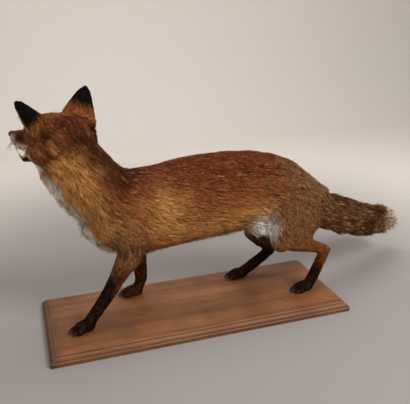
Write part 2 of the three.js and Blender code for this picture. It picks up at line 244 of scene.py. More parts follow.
def skinned(rings: Array, closed: bool = True) -> Surface:
    """Quads through rings of points, with the ends closed by a point.

    Args:
        rings: (rings, around, 3).
        closed: adds the two end points.
    Returns:
        The surface, in triangles.
    """
    count, around, _ = rings.shape
    i, j = np.meshgrid(np.arange(count - 1), np.arange(around), indexing="ij")
    k = (j + 1) % around
    quads = np.stack([i * around + j, i * around + k, (i + 1) * around + k, (i + 1) * around + j], -1)
    quads = quads.reshape(-1, 4)
    tris = np.concatenate([quads[:, [0, 1, 2]], quads[:, [0, 2, 3]]])
    points = rings.reshape(-1, 3)
    if closed:
        first, last = len(points), len(points) + 1
        points = np.concatenate([points, rings[:1].mean(1), rings[-1:].mean(1)])
        a, b = np.arange(around), (np.arange(around) + 1) % around
        end = (count - 1) * around
        tris = np.concatenate([tris, np.stack([b, a, np.full(around, first)], 1),
                               np.stack([a + end, b + end, np.full(around, last)], 1)])
    return Surface(points, tris)


def horn(path: Array, wide: Array, deep: Array, up: tuple, around: int = 8) -> Surface:
    """A closed tapering form along a path, such as a tooth, a claw or a whisker.

    Args:
        path: points (n, 3) from its root to its tip.
        wide: half its width across at each of them.
        deep: half its depth, along up.
        up: roughly the way that its back faces.
        around: sides.
    Returns:
        The surface.
    """
    along = unit(np.gradient(path, axis=0))
    back = tangent(np.broadcast_to(np.array(up, float), along.shape), along)
    side = np.cross(along, back)
    a = turns(around)[None, :, None]
    return skinned(path[:, None] + np.cos(a) * (back * np.reshape(deep, (-1, 1)))[:, None]
                   + np.sin(a) * (side * np.reshape(wide, (-1, 1)))[:, None])


def globe(front: Array | tuple, up: Array | tuple, polar: Array, around: int) -> Array:
    """Rings of points on a ball of radius one, at polar angles from its front, each counted from up."""
    a, t = turns(around)[None, :, None], polar[:, None, None]
    return np.sin(t) * (np.cos(a) * up + np.sin(a) * np.cross(front, up)) + np.cos(t) * front


def round_form(middle: Array, half: Array, around: int = 20, rings: int = 12) -> Surface:
    """An ellipsoid."""
    polar = np.linspace(math.pi, 0, rings + 2)[1:-1]
    return skinned(middle + globe((0, 0, 1), (1, 0, 0), polar, around) * half)


def hoop(path: Array, middle: Array, radius: float, around: int = 8) -> Surface:
    """A closed ring of round section.

    Args:
        path: points along it.
        middle: the point that it goes round.
        radius: its section's.
        around: the section's sides.
    Returns:
        The surface.
    """
    along = unit(np.roll(path, -1, 0) - np.roll(path, 1, 0))
    out = tangent(path - middle, along)
    side = np.cross(along, out)
    a = turns(around)[None, :, None]
    rings = path[:, None] + radius * (np.cos(a) * out[:, None] + np.sin(a) * side[:, None])
    shape = skinned(np.concatenate([rings, rings[:1]]), closed=False)
    last = len(path) * around
    return Surface(shape.points[:last], shape.faces % last)


def curve(*knots: tuple, count: int = 8) -> Array:
    """Points along a smooth curve through two to four knots."""
    knots = np.array(knots, float)
    t, at = np.linspace(0, 1, count), np.linspace(0, 1, len(knots))
    return np.stack([np.polyval(np.polyfit(at, k, len(knots) - 1), t) for k in knots.T], 1)


# ---- finishes
def srgb(text: str) -> tuple[float, float, float, float]:
    """The linear colour of an sRGB hex value such as "8a4f28"."""
    parts = [int(text[i:i + 2], 16) / 255 for i in (0, 2, 4)]
    return (*[c / 12.92 if c <= 0.04045 else ((c + 0.055) / 1.055) ** 2.4 for c in parts], 1.0)


def add_node(tree: Tree, kind: str, settings: dict | None = None, links: dict | None = None):
    """Adds a node.

    Args:
        tree: the material's tree.
        kind: the node's type, without its ShaderNode prefix.
        settings: properties by name, and values of sockets by name or number.
        links: the output that feeds each socket, by name or number.
    Returns:
        The node.
    """
    node = tree.nodes.new("ShaderNode" + kind)
    for key, value in (settings or {}).items():
        if isinstance(key, str) and hasattr(node, key):
            setattr(node, key, value)
        else:
            node.inputs[key].default_value = value
    for key, output in (links or {}).items():
        tree.links.new(output, node.inputs[key])
    return node


def new_material(name: str) -> tuple[Finish, Tree]:
    """An empty node material.

    Args:
        name: its name.
    Returns:
        The material and its tree.
    """
    material = bpy.data.materials.new(name)
    material.use_nodes = True
    material.node_tree.nodes.clear()
    return material, material.node_tree


def closed(material: Finish, shader) -> Finish:
    """The material, with its output linked to a shader."""
    add_node(material.node_tree, "OutputMaterial", links={"Surface": shader.outputs[0]})
    return material


def layered(tree: Tree, base, *layers: tuple):
    """Colours laid over one another, each where its share says.

    Args:
        tree: the material's tree.
        base: the lowest colour, a hex text or an output.
        layers: pairs of a share, which is an output, and a colour, which is a hex text or an output.
    Returns:
        The output that carries the colour.
    """
    for share, colour in layers:
        settings, links = {"data_type": "RGBA"}, {0: share}
        for key, value in ((6, base), (7, colour)):
            if isinstance(value, str):
                settings[key] = srgb(value)
            else:
                links[key] = value
        base = add_node(tree, "Mix", settings, links).outputs[2]
    return base


def shaded(tree: Tree, colour, brightness):
    """A colour's output, made darker or lighter by a number's output."""
    grey = add_node(tree, "CombineColor", links={i: brightness for i in range(3)}).outputs[0]
    return add_node(tree, "Mix", {"data_type": "RGBA", "blend_type": "MULTIPLY", 0: 1.0},
                    {6: colour, 7: grey}).outputs[2]


def stored(tree: Tree, name: str):
    """The three numbers of a stored vector, as outputs."""
    vector = add_node(tree, "Attribute", {"attribute_name": name}).outputs["Vector"]
    return tuple(add_node(tree, "SeparateXYZ", links={0: vector}).outputs)


@dataclass(frozen=True)
class FoxHair:
    """Guard hair of a red fox over the tanned skin. Dry hair: a soft satin surface with a weak highlight.

    Each strand is dark at its root and paler towards its tip, partly as the hair's own banding and partly as
    painted shade between the locks, and neighbours differ in tone. The masks of the markings are stored on
    the skin and on each tuft, so that both show the same. strand_mm is drawn much coarser than a real hair,
    so that it shows.
    """

    ginger: str = "90532a"
    red: str = "803d20"
    gold: str = "c4884c"
    umber: str = "7a5030"
    # deep is the dark brown of the dark markings, and also painted shade: at the elbow, in the folds before
    # it and in the crease behind each cheek.
    deep: str = "3f1d0d"
    cream: str = "e8decb"
    soot: str = "0c0705"
    tick: str = "c8a377"
    lining: str = "6f3a34"
    roughness: float = 0.66
    wet_roughness: float = 0.35
    ior: float = 1.45
    specular: float = 0.06
    root_to_tip: tuple = (0.34, 1.18)
    between_strands: tuple = (0.55, 1.25)
    strand_mm: float = 1.1
    relief_mm: float = 0.6

    def make(self, name: str, undercoat: bool) -> Finish:
        """The material.

        Args:
            name: the material's name.
            undercoat: for the skin, where the hair is short and close: darker, with the strands as bump.
        Returns:
            The material.
        """
        material, tree = new_material(name)
        red, gold, umber = stored(tree, "pelt")
        white, black, tick = stored(tree, "ends")
        tone, along, deep = stored(tree, "strand")
        colour = layered(tree, self.ginger, (red, self.red), (gold, self.gold), (umber, self.umber),
                         (deep, self.deep), (white, self.cream), (black, self.soot), (tick, self.tick))
        # Darker towards the root: the hair's banding, and painted shade between the locks.
        low, high = self.root_to_tip
        shade = add_node(tree, "MapRange", {"To Min": low, "To Max": high}, {"Value": along})
        light = add_node(tree, "Math", {"operation": "MULTIPLY"}, {0: shade.outputs[0], 1: tone})
        colour = shaded(tree, colour, light.outputs[0])
        shader = add_node(tree, "BsdfPrincipled", {
            "Roughness": self.roughness, "IOR": self.ior, "Specular IOR Level": self.specular},
            {"Base Color": colour})
        if undercoat:
            self.lay_flat(tree, shader, colour)
        return closed(material, shader)

    def lay_flat(self, tree: Tree, shader, colour) -> None:
        """Adds the close hair's streaks and relief, and the wet lining of the mouth.

        Args:
            tree: the material's tree.
            shader: the shader that takes them.
            colour: the output with the hair's colour.
        """
        wet = add_node(tree, "Attribute", {"attribute_name": "lining"}).outputs["Fac"]
        lie = add_node(tree, "Attribute", {"attribute_name": "lie"}).outputs["Vector"]
        streaks = add_node(tree, "TexNoise", {"Scale": 1 / (self.strand_mm * MM), "Detail": 3.0},
                           {"Vector": lie}).outputs[0]
        low, high = self.between_strands
        light = add_node(tree, "MapRange", {"To Min": low, "To Max": high}, {"Value": streaks})
        colour = layered(tree, shaded(tree, colour, light.outputs[0]), (wet, self.lining))
        gloss = add_node(tree, "MapRange", {"To Min": self.roughness, "To Max": self.wet_roughness},
                         {"Value": wet})
        bump = add_node(tree, "Bump", {"Strength": 0.5, "Distance": self.relief_mm * MM}, {"Height": streaks})
        for socket, output in (("Base Color", colour), ("Roughness", gloss.outputs[0]),
                               ("Normal", bump.outputs[0])):
            tree.links.new(output, shader.inputs[socket])


# ---- the head's frame
@dataclass(frozen=True)
class HeadFrame:
    """Where the head sits. In its own frame the nose points along -X and the left side is -Y."""

    at: tuple = (-291, 24, 446)
    turn: float = -52
    pitch: float = -1.7
    roll: float = -0.6
    hinge: tuple = (-28, 0, -38)
    gape: float = 17

    def matrix(self) -> Array:
        """The 3 by 3 turn from the head's frame to the fox's."""
        angles = [math.radians(a) for a in (self.roll, self.pitch, self.turn)]
        return np.array(Euler(angles, "XYZ").to_matrix())

    def to_fox(self, p: Array) -> Array:
        """Points of the head's frame in the fox's frame."""
        return np.asarray(p, float) @ self.matrix().T + np.array(self.at)

    def to_head(self, p: Array) -> Array:
        """Points of the fox's frame in the head's frame."""
        return (np.asarray(p, float) - np.array(self.at)) @ self.matrix()

    def way(self, v: Array) -> Array:
        """A direction of the head's frame in the fox's frame."""
        return np.asarray(v, float) @ self.matrix().T

    def jaw_turn(self) -> Array:
        """The 3 by 3 turn of the opened lower jaw, in the head's frame."""
        return np.array(Matrix.Rotation(math.radians(-self.gape), 3, "Y"))

    def open_jaw(self, p: Array) -> Array:
        """Points of the shut lower jaw, where they are with the jaw open, in the head's frame."""
        return (np.asarray(p, float) - self.hinge) @ self.jaw_turn().T + np.array(self.hinge)

    def shut_jaw(self, p: Array) -> Array:
        """The reverse of open_jaw."""
        return (np.asarray(p, float) - self.hinge) @ self.jaw_turn() + np.array(self.hinge)


HEAD = HeadFrame()


@dataclass(frozen=True)
class EyeSite:
    """One eye and its opening, in the head's frame with y counted outward.

    The opening's half_length and half_height, and the lids' height over the ball, are in eye radii; slant is
    how much lower the opening is at its corners.
    """

    at: tuple = (-52.6, 21.6, 8.7)
    radius: float = 8.2
    gaze: tuple = (-0.70, 0.70, 0.14)
    inner_corner: tuple = (-0.66, -0.58, -0.45)
    half_length: float = 0.90
    half_height: float = 0.56
    slant: float = 0.3
    lid: float = 1.09

    def axes(self, side: Side) -> tuple[Array, Array, Array, Array]:
        """Where the eye is and how it is turned.

        Args:
            side: which eye.
        Returns:
            Its centre, its gaze, the way to its outer corner, and its up, in the head's frame.
        """
        gaze = unit(self.gaze * side.flip)
        outer = tangent((self.inner_corner * -side.flip)[None], gaze[None])[0]
        up = np.cross(gaze, outer)
        return self.at * side.flip, gaze, outer, up * np.sign(up[2])

    def opening(self, p: Array, side: Side) -> tuple[Array, Array, Array]:
        """How points lie to the opening.

        Args:
            p: points in the head's frame.
            side: which eye.
        Returns:
            A measure that is 1 on the lids' edge and less inside it, the share of the way that points face
            along the gaze, and the distance from the eye's centre.
        """
        centre, gaze, outer, up = self.axes(side)
        v = p - centre
        far = length(v)
        across, rise = v @ outer / self.radius, v @ up / self.radius
        height = self.half_height * (1 - self.slant * np.clip(across / self.half_length, -1, 1) ** 2)
        measure = np.hypot(across / self.half_length, rise / height)
        return measure, v @ gaze / np.maximum(far, 1e-6), far

    def edge(self, side: Side, count: int, spread: float = 1.0) -> Array:
        """Points round the opening.

        Args:
            side: which eye.
            count: how many.
            spread: how far from the eye's centre, in its radii.
        Returns:
            The points, in the head's frame.
        """
        centre, gaze, outer, up = self.axes(side)
        a = turns(count)[:, None]
        height = self.half_height * (1 - self.slant * np.cos(a) ** 2)
        flat = self.half_length * np.cos(a) * outer + height * np.sin(a) * up
        depth = np.sqrt(np.maximum(1 - (flat ** 2).sum(1, keepdims=True), 0.05))
        return centre + unit(flat + depth * gaze) * self.radius * spread


EYE = EyeSite()
NOSE_AT = np.array([-129.0, 0, -11])


@dataclass(frozen=True)
class PawSite:
    """One paw: its heel's place, the way it points in degrees from -X, and the sizes of its toes."""

    node: str
    heel: tuple
    turn: float = 0
    level: float = 18.8
    length: float = 50
    width: float = 38
    toe: float = 8

    def matrix(self) -> Array:
        """The 3 by 3 turn from the paw's frame to the fox's."""
        return np.array(Matrix.Rotation(math.radians(self.turn), 3, "Z"))

    def to_paw(self, p: Array) -> Array:
        """Points of the fox's frame in the paw's own frame, where the toes point along -X."""
        return (p - (*self.heel, self.level)) @ self.matrix()

    def to_fox(self, p: Array) -> Array:
        """The reverse of to_paw."""
        return np.asarray(p, float) @ self.matrix().T + (*self.heel, self.level)

    def lanes(self) -> list[tuple[float, float, float]]:
        """Each toe as its lane from -1 to 1, the x of its middle, and its y."""
        half = self.width / 2 - self.toe * 0.8
        return [(lane, -(self.length - self.toe * (1.3 + lane ** 2)), lane * half)
                for lane in (-1, -0.36, 0.36, 1)]

    def front(self, y: Array) -> Array:
        """How far the toes reach along x, at a place across the paw."""
        _, x, side = zip(*self.lanes()[2:])
        return np.interp(np.abs(y), side, [v - self.toe * 1.5 for v in x])


PAWS = (PawSite("forepaw_left", (-250, -42), 10), PawSite("forepaw_right", (-116, 78)),
        PawSite("hindpaw_left", (292, -36), 4), PawSite("hindpaw_right", (162, 80)))


# ---- the skin
def both_sides(*nodes: str) -> tuple:
    """The names of nodes for the left side and then the right, with the side's word in place of a star."""
    return tuple(node.replace("*", side.word) for side in Side for node in nodes)


FLESH = ("trunk", "neck", "head", "lower_jaw", "ear_left", "ear_right", "tail", "tail_tip",
         *both_sides("foreleg_*_upper", "foreleg_*_lower", "forepaw_*",
                     "hindleg_*_thigh", "hindleg_*_shank", "hindpaw_*"))


@dataclass(frozen=True)
class Lie:
    """How the coat grows on one node.

    along is the way that the hair lies, in the fox's frame, or in the head's frame for the pieces of the
    head; hair and width are a tuft's size; depth is from the skin to the outline; firm is how little the
    skin under it is smoothed.
    """

    along: tuple
    hair: float
    width: float
    depth: float
    firm: float = 0.0


LIES = {
    "trunk": Lie((1, 0, -0.22), 16, 1.4, 4.6),
    "neck": Lie((0.62, 0, -0.78), 19, 1.5, 6.0),
    "head": Lie((1, 0, -0.12), 11, 1.3, 2.4, 0.75),
    "lower_jaw": Lie((1, 0, -0.3), 6, 1.0, 1.0, 0.85),
    "ear_left": Lie((0.05, -0.35, 0.9), 6, 1.1, 0.7, 0.9),
    "ear_right": Lie((0.05, 0.35, 0.9), 6, 1.1, 0.7, 0.9),
    "tail": Lie((0.87, 0.3, -0.4), 32, 2.1, 11),
    "tail_tip": Lie((0.85, 0.42, -0.2), 23, 2.0, 11),
    **dict.fromkeys(both_sides("foreleg_*_upper"), Lie((0.12, 0, -1), 15, 1.5, 3.6)),
    "foreleg_left_lower": Lie((-0.5, 0, -0.86), 9, 1.3, 2.0, 0.6),
    "foreleg_right_lower": Lie((0.05, 0, -1), 9, 1.3, 2.0, 0.6),
    "forepaw_left": Lie((-0.75, 0, -0.6), 8, 1.2, 2.0, 0.85),
    "forepaw_right": Lie((-0.6, 0, -0.75), 8, 1.2, 2.0, 0.85),
    **dict.fromkeys(both_sides("hindleg_*_thigh"), Lie((0.45, 0, -0.88), 14, 1.4, 4.0)),
    "hindleg_left_shank": Lie((0.6, 0, -0.75), 10, 1.3, 2.2, 0.6),
    "hindleg_right_shank": Lie((0.45, 0, -0.85), 10, 1.3, 2.2, 0.6),
    "hindpaw_left": Lie((-0.4, 0, -0.9), 8, 1.2, 2.0, 0.85),
    "hindpaw_right": Lie((-0.75, 0, -0.6), 8, 1.2, 2.0, 0.85),
}
HEAD_NODES = ("head", "lower_jaw", "ear_left", "ear_right")


def of_each(what: str, node: Array) -> Array:
    """One of the values of LIES for each vertex, from its node's number."""
    return np.array([getattr(LIES[name], what) for name in FLESH])[node]


@dataclass(frozen=True)
class Trim:
    """Folds the solids' teeth and claws back into the flesh, as they are pieces of their own.

    lip and gum are the edges of the upper and the lower jaw's flesh, as knots of x and of z.
    """

    lip: tuple = ((-125, -110, -92, -66), (-29.5, -34, -38, -36))
    gum: tuple = ((-104, -90, -60), (-35.5, -36, -37))
    mouth_back: float = -60
    gum_back: float = -55
    half_width: float = 22

    def without_teeth(self, name: str, p: Array) -> Array:
        """Folds a node's teeth into the jaw that carries them.

        Args:
            name: the node.
            p: its points.
        Returns:
            The points, moved.
        """
        if name not in ("head", "lower_jaw"):
            return p
        h = HEAD.to_head(p)
        if name == "head":
            mouth = (h[:, 0] < self.mouth_back) & (np.abs(h[:, 1]) < self.half_width)
            h[:, 2] = np.where(mouth, np.maximum(h[:, 2], np.interp(h[:, 0], *self.lip)), h[:, 2])
        else:
            j = HEAD.shut_jaw(h)
            lowered = np.minimum(j[:, 2], np.interp(j[:, 0], *self.gum))
            j[:, 2] = np.where(j[:, 0] < self.gum_back, lowered, j[:, 2])
            h = HEAD.open_jaw(j)
        return HEAD.to_fox(h)

    @staticmethod
    def without_claws(name: str, p: Array) -> Array:
        """Folds a node's claws into the toes.

        Args:
            name: the node.
            p: its points.
        Returns:
            The points, moved.
        """
        for paw in PAWS:
            if paw.node == name:
                q = paw.to_paw(p)
                q[:, 0] = np.maximum(q[:, 0], paw.front(q[:, 1]))
                p = paw.to_fox(q)
        return p


@dataclass
class Skin:
    """The tanned skin: one closed surface through all the nodes of flesh, with eye sockets and lids.

    pitch is the remesh's step, finer round the head by head_scale within head_reach; overlap is how far the
    nodes are grown to meet. fills are the stuffed places of the neck and the ears' bases, in the head's
    frame, and cheek the one of each cheek, with y counted outward; stuffing holds those of the body, in the
    fox's frame, and instep the paws', in the paw's frame: each a middle and its half-axes. ear_tip is the
    radius of the forms that blunt an ear, ear_growth how much the ears are thickened, and face_depth the
    coat's depth on the face. facet_rounds and fold_rounds are how often facets and folds are smoothed.
    """

    pitch: float = 4.5
    head_scale: float = 2.3
    head_middle: tuple = (-45, 0, 5)
    head_reach: float = 125
    overlap: float = 0.45
    fills: tuple = (((36, -31, -34), (24, 17, 20)), ((36, 31, -34), (24, 17, 20)),
                    ((56, -16, -22), (20, 20, 18)), ((56, 16, -20), (20, 20, 18)),
                    ((46, 46, -10), (14, 14, 22)), ((36, -42, -6), (15, 15, 18)))
    stuffing: tuple = (
        ("neck", (-221, 30, 440), (21, 22, 26)), ("neck", (-226, 26, 420), (26, 24, 26)),
        ("neck", (-211, 24, 391), (27, 24, 27)), ("neck", (-198, 22, 372), (28, 24, 28)),
        ("neck", (-177, 20, 351), (28, 24, 28)), ("neck", (-308, -24, 404), (21, 17, 23)),
        ("trunk", (297, -10, 190), (26, 22, 34)), ("tail", (352, 0, 178), (34, 26, 23)),
        ("trunk", (325, 0, 263), (25, 18, 17)), ("tail", (402, 8, 160), (36, 28, 29)),
        ("head", (-322, -35, 448), (10, 8, 10)), ("tail_tip", (560, 74, 120), (20, 18, 20)),
        ("tail_tip", (552, 62, 162), (24, 20, 17)), ("trunk", (160, -16, 199), (30, 17, 24)),
        ("hindleg_left_thigh", (204, -46, 157), (27, 17, 19)))
    instep: tuple = ((-22, 0, 13), (20, 17.5, 13.5))
    cheek: tuple = ((-10, 54, -27), (11, 11, 14))
    ear_tip: float = 4.6
    ear_growth: float = 1.7
    face_depth: float = 0.7
    facet_rounds: int = 22
    fold_rounds: int = 220
    surface: Surface = field(init=False)
    edges: Array = field(init=False)
    normal: Array = field(init=False)
    node: Array = field(init=False)
    local: Array = field(init=False)

    def stuffed(self) -> list[tuple[str, Surface]]:
        """The round forms that fill the flesh out, each with the node that it counts to."""
        forms = [("head", HEAD, EYE.axes(side)[0], (EYE.radius,) * 3) for side in Side]
        forms += [("head", HEAD, self.cheek[0] * side.flip, self.cheek[1]) for side in Side]
        forms += [("neck", HEAD, middle, half) for middle, half in self.fills]
        forms += [(node, None, middle, half) for node, middle, half in self.stuffing]
        forms += [(f"ear_{side.word}", HEAD, middle, (self.ear_tip,) * 3)
                  for side, ear in EARS.items() for middle in ear.rounding(side)]
        forms += [(paw.node, paw, *self.instep) for paw in PAWS]
        made = []
        for node, place, middle, half in forms:
            ball = round_form(np.array(middle, float), np.array(half, float))
            made.append((node, Surface(place.to_fox(ball.points), ball.faces) if place else ball))
        return made

    def flesh(self) -> tuple[list[Surface], Surface, Array]:
        """The nodes of flesh as merged surfaces, the same joined, and each joined face's node number."""
        parts, trim = [], Trim()
        for name in FLESH:
            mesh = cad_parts[name].data
            mesh.calc_loop_triangles()
            co, tris = read(mesh.vertices, "co", 3) / MM, read(mesh.loop_triangles, "vertices", 3, int)
            _, first, same = np.unique(co.round(3), axis=0, return_index=True, return_inverse=True)
            bare = trim.without_teeth(name, trim.without_claws(name, co[first]))
            parts.append(Surface(bare, same.ravel()[tris]))
        owner = [np.full(len(part.faces), i) for i, part in enumerate(parts)]
        for node, ball in self.stuffed():
            parts.append(ball)
            owner.append(np.full(len(ball.faces), FLESH.index(node)))
        return parts, joined(parts), np.concatenate(owner)

    def on(self, *names: str) -> Array:
        """One where the skin belongs to any of the nodes whose names start so, and otherwise nought."""
        own = np.isin(self.node, [i for i, name in enumerate(FLESH) if name.startswith(names)])
        return own.astype(float)

    def spread(self, p: Array, inward: bool = False) -> Array:
        """Space drawn out round the head, so that an even remesh is finer there.

        Args:
            p: points.
            inward: undoes it.
        Returns:
            The moved points.
        """
        middle = HEAD.to_fox(self.head_middle)
        v = p - middle
        far = np.linalg.norm(v, axis=1, keepdims=True)
        grown = self.head_reach * self.head_scale
        if inward:
            near = np.where(far < grown, far / self.head_scale, far - grown + self.head_reach)
        else:
            near = np.where(far < self.head_reach, far * self.head_scale, far - self.head_reach + grown)
        return middle + v * near / np.maximum(far, 1e-9)

    def remeshed(self, parts: list[Surface]) -> Surface:
        """One even, closed surface round all the parts, each grown a little so that they overlap.

        Args:
            parts: closed surfaces.
        Returns:
            The surface, in quads.
        """
        grown = joined([Surface(self.spread(s.points + s.normals() * self.overlap), s.faces) for s in parts])
        thing = mesh_object("skin_source", grown, bpy.data.materials.new("none"))
        modifier = thing.modifiers.new("even", "REMESH")
        modifier.mode = "VOXEL"
        modifier.voxel_size = self.pitch * MM
        made = thing.evaluated_get(bpy.context.evaluated_depsgraph_get()).data
        surface = Surface(self.spread(read(made.vertices, "co", 3) / MM, inward=True),
                          read(made.loops, "vertex_index", 1, int).reshape(-1, 4))
        bpy.data.objects.remove(thing)
        return surface

    def build(self) -> "Skin":
        """Makes the surface, its normals, and each vertex's node and place in the head's frame."""
        parts, solid, owner = self.flesh()
        tree = BVHTree.FromPolygons(solid.points.tolist(), solid.faces.tolist())
        self.surface = s = self.remeshed(parts)
        self.edges = s.edges()
        self.node = owner[[tree.find_nearest(p)[2] for p in s.points.tolist()]]
        soft = self.softness()
        self.smooth(soft)
        s.points = s.points - s.normals() * (self.sunk() + self.overlap)[:, None]
        s.points = averaged(s.points, self.edges, 5, 0.4 * soft)
        normal = s.normals()
        self.draw_orbits()
        self.groove_toes(normal)
        self.normal, self.local = s.normals(), HEAD.to_head(s.points)
        return self

    def softness(self) -> Array:
        """How far each point gives way when the facets are smoothed, from 0 to 1: little on the muzzle."""
        soft = averaged(1 - of_each("firm", self.node), self.edges, 8)
        muzzle = ramp(HEAD.to_head(self.surface.points)[:, 0], 5, -30) * self.on(*HEAD_NODES)
        return np.where(self.on("head", "lower_jaw") > 0, 1 - 0.75 * averaged(muzzle, self.edges, 8), soft)

    def smooth(self, soft: Array) -> None:
        """Smooths the facets away and fills the folds behind the head, then gives back the lost volume.

        Args:
            soft: how far each point gives way.
        """
        s, edges = self.surface, self.edges
        start, outward, along = s.points.copy(), s.normals(), HEAD.to_head(s.points)[:, 0]
        held = averaged(self.on("forepaw", "hindpaw", "ear") * 0.8, edges, 4)
        for share in (0.6, -0.62) * 12:
            s.points = averaged(s.points, edges, 1, share * (1 - held))
        s.points = averaged(s.points, edges, self.facet_rounds, 0.6 * soft)
        behind = averaged(self.on("head", "lower_jaw"), edges, 60)
        fold = np.clip(5 * behind * (1 - behind), 0, 1) * ramp(along, -30, 0) * (1 - held / 0.8)
        s.points = averaged(s.points, edges, self.fold_rounds, 0.75 * fold)
        lost = np.clip(-((s.points - start) * outward).sum(1), 0, 8)
        s.points = s.points + s.normals() * averaged(lost, edges, 10)[:, None]

    def sunk(self) -> Array:
        """How far the skin lies under the outline: the coat's depth, more at the breast, less on the back."""
        s, edges = self.surface, self.edges
        x, up = s.points[:, 0], s.normals()[:, 2]
        depth = averaged(of_each("depth", self.node), edges, 30)
        depth = depth + 7 * spot(s.points, (-243, 20, 238), (30, 70, 44)) * ramp(x, -200, -225)
        back = ramp(up, 0.1, 0.7) * ramp(x, -90, -20) * ramp(x, 285, 250)
        depth = depth - 4.5 * averaged(back * self.on("trunk"), edges, 12)
        return self.thin_face(s.points, depth) - self.ear_growth * averaged(self.on("ear"), edges, 6)

    def thin_face(self, p: Array, depth: Array) -> Array:
        """The coat's depth, less on the muzzle and round the eyes."""
        face = ramp(HEAD.to_head(p)[:, 0], -25, -65) * self.on("head", "lower_jaw")
        return depth * (1 - face) + self.face_depth * face

    def groove_toes(self, normal: Array) -> None:
        """Draws a groove between each two toes.

        Args:
            normal: the way that each point faces.
        """
        for paw in PAWS:
            q = paw.to_paw(self.surface.points)
            near = (np.abs(q[:, 1]) < paw.width * 0.6) & (q[:, 0] < 10) & (q[:, 0] > -70) & (q[:, 2] < 34)
            sides = [y for _, _, y in paw.lanes()]
            groove = sum(np.exp(-((q[:, 1] - (a + b) / 2) / 1.9) ** 2) for a, b in zip(sides, sides[1:]))
            depth = 2.6 * groove * ramp(q[:, 0], -18, -34) * near * ramp(normal[:, 2], -0.3, 0.1)
            self.surface.points = self.surface.points - normal * depth[:, None]

    def draw_orbits(self) -> None:
        """Draws the head's skin over the eyeballs as lids, and back behind them within each opening."""
        h = HEAD.to_head(self.surface.points)
        for side in Side:
            centre = EYE.axes(side)[0]
            measure, facing, far = EYE.opening(h, side)
            near = (facing > -0.1) & (far < 2.4 * EYE.radius)
            inside = near & (measure < 1.0) & (facing > 0)
            lid = near & ~inside
            goal = np.where(inside, EYE.radius * 0.82, EYE.radius * EYE.lid)
            share = np.where(inside, 1.0, ramp(measure, 2.5, 1.2) * ramp(facing, -0.1, 0.35))
            raised = np.where(lid, np.maximum(far, goal), goal)
            moved = far + (raised - far) * share
            h = np.where(near[:, None], centre + unit(h - centre) * moved[:, None], h)
        self.surface.points = HEAD.to_fox(h)


# ---- markings and lie
@dataclass(frozen=True)
class EarSite:
    """One ear, in the head's frame with y counted outward: its base's two ends and its tip.

    black_from is how high up it the black of its back begins, from 0 to 1.
    """

    inner: tuple
    outer: tuple
    tip: tuple
    black_from: float

    def stance(self, side: Side) -> tuple[Array, Array, Array]:
        """The middle of the ear's base, the way across it, and the way up to its tip."""
        inner, outer, tip = (v * side.flip for v in (self.inner, self.outer, self.tip))
        base = (inner + outer) / 2
        return base, outer - inner, tip - base

    def height(self, h: Array, side: Side) -> Array:
        """How high points are on the ear, from 0 at its base to 1 at its tip."""
        base, _, rise = self.stance(side)
        return (h - base) @ rise / (rise @ rise)

    def rounding(self, side: Side) -> Array:
        """The middles of the three small forms that blunt the tip."""
        base, wide, rise = self.stance(side)
        steps = np.array([(-5, -10.5), (0, -7), (5, -10.5)])
        return base + rise + steps @ np.stack([unit(wide), unit(rise)])

    def back(self, side: Side) -> Array:
        """The way that the ear's back faces."""
        _, wide, rise = self.stance(side)
        back = unit(np.cross(wide, rise))
        return back if back[0] > 0 else -back


EARS = {
    Side.LEFT: EarSite((4, 20, 38), (26, 70, 4), (4, 85, 79), 0.17),
    Side.RIGHT: EarSite((2, 20, 38), (44, 78, 6), (19, 84, 89), 0.29),
}


@dataclass(frozen=True)
class Patch:
    """A soft patch of one marking: its mark, its nodes, its middle, its half-axes, and how strong it is."""

    mark: str
    nodes: tuple
    at: tuple
    reach: tuple
    share: float


# The mark deep is also used for painted shade, at the elbow and in creases.
MARKS = ("red", "gold", "umber", "white", "black", "deep")
BREAST = ("trunk", "foreleg_left_upper", "foreleg_right_upper")
SIDES = ("trunk", "neck")
# Places in the fox's frame: painted shade at the elbow and in the folds before it, the dark shoulder, the
# tail's dark band.
BODY_PATCHES = (
    Patch("deep", BREAST, (-180, -52, 160), (34, 60, 34), 0.85),
    Patch("deep", BREAST, (-165, -56, 200), (24, 40, 26), 0.5),
    Patch("deep", ("foreleg",), (-190, -60, 140), (40, 60, 34), 0.6),
    Patch("deep", SIDES, (-190, -50, 296), (34, 50, 40), 0.45),
    Patch("deep", ("tail",), (484, 50, 165), (50, 90, 90), 0.8),
)
# Places in the head's frame, with y counted outward: between and behind the ears, and the cheek.
HEAD_PATCHES = (
    Patch("gold", ("head",), (4, 30, 46), (22, 26, 14), 0.5),
    Patch("gold", ("head",), (52, 52, 12), (20, 18, 22), 0.3),
    Patch("white", ("head",), (-18, 56, -34), (13, 16, 13), 0.6),
)
# The golden places of both sides, which add up: behind the shoulder, the belly line, the flank, the shoulder,
# the neck and the throat's side.
GLOW = tuple(Patch("gold", *row) for row in (
    (SIDES, (-84, -50, 280), (46, 60, 52), 1.0), (SIDES, (0, -40, 212), (130, 60, 40), 1.1),
    (SIDES, (130, -45, 244), (62, 50, 30), 1.1), (SIDES, (-208, -45, 258), (46, 50, 50), 1.1),
    (("neck",), (-276, -36, 380), (48, 48, 60), 1.5), (SIDES, (-250, -40, 310), (34, 44, 50), 0.8)))


def give_marks(thing: Piece, marks: dict, tick: Array, tone: Array, along: Array) -> None:
    """Stores what the hair's finish reads.

    Args:
        thing: the piece.
        marks: the masks.
        tick: how pale the hair's end is.
        tone: how light the hair is.
        along: the place along a strand, from its root to its tip.
    """
    give(thing, "pelt", np.stack([marks["red"], marks["gold"], marks["umber"]], 1))
    give(thing, "ends", np.stack([marks["white"], marks["black"], tick], 1))
    give(thing, "strand", np.stack([tone, along, marks["deep"]], 1))


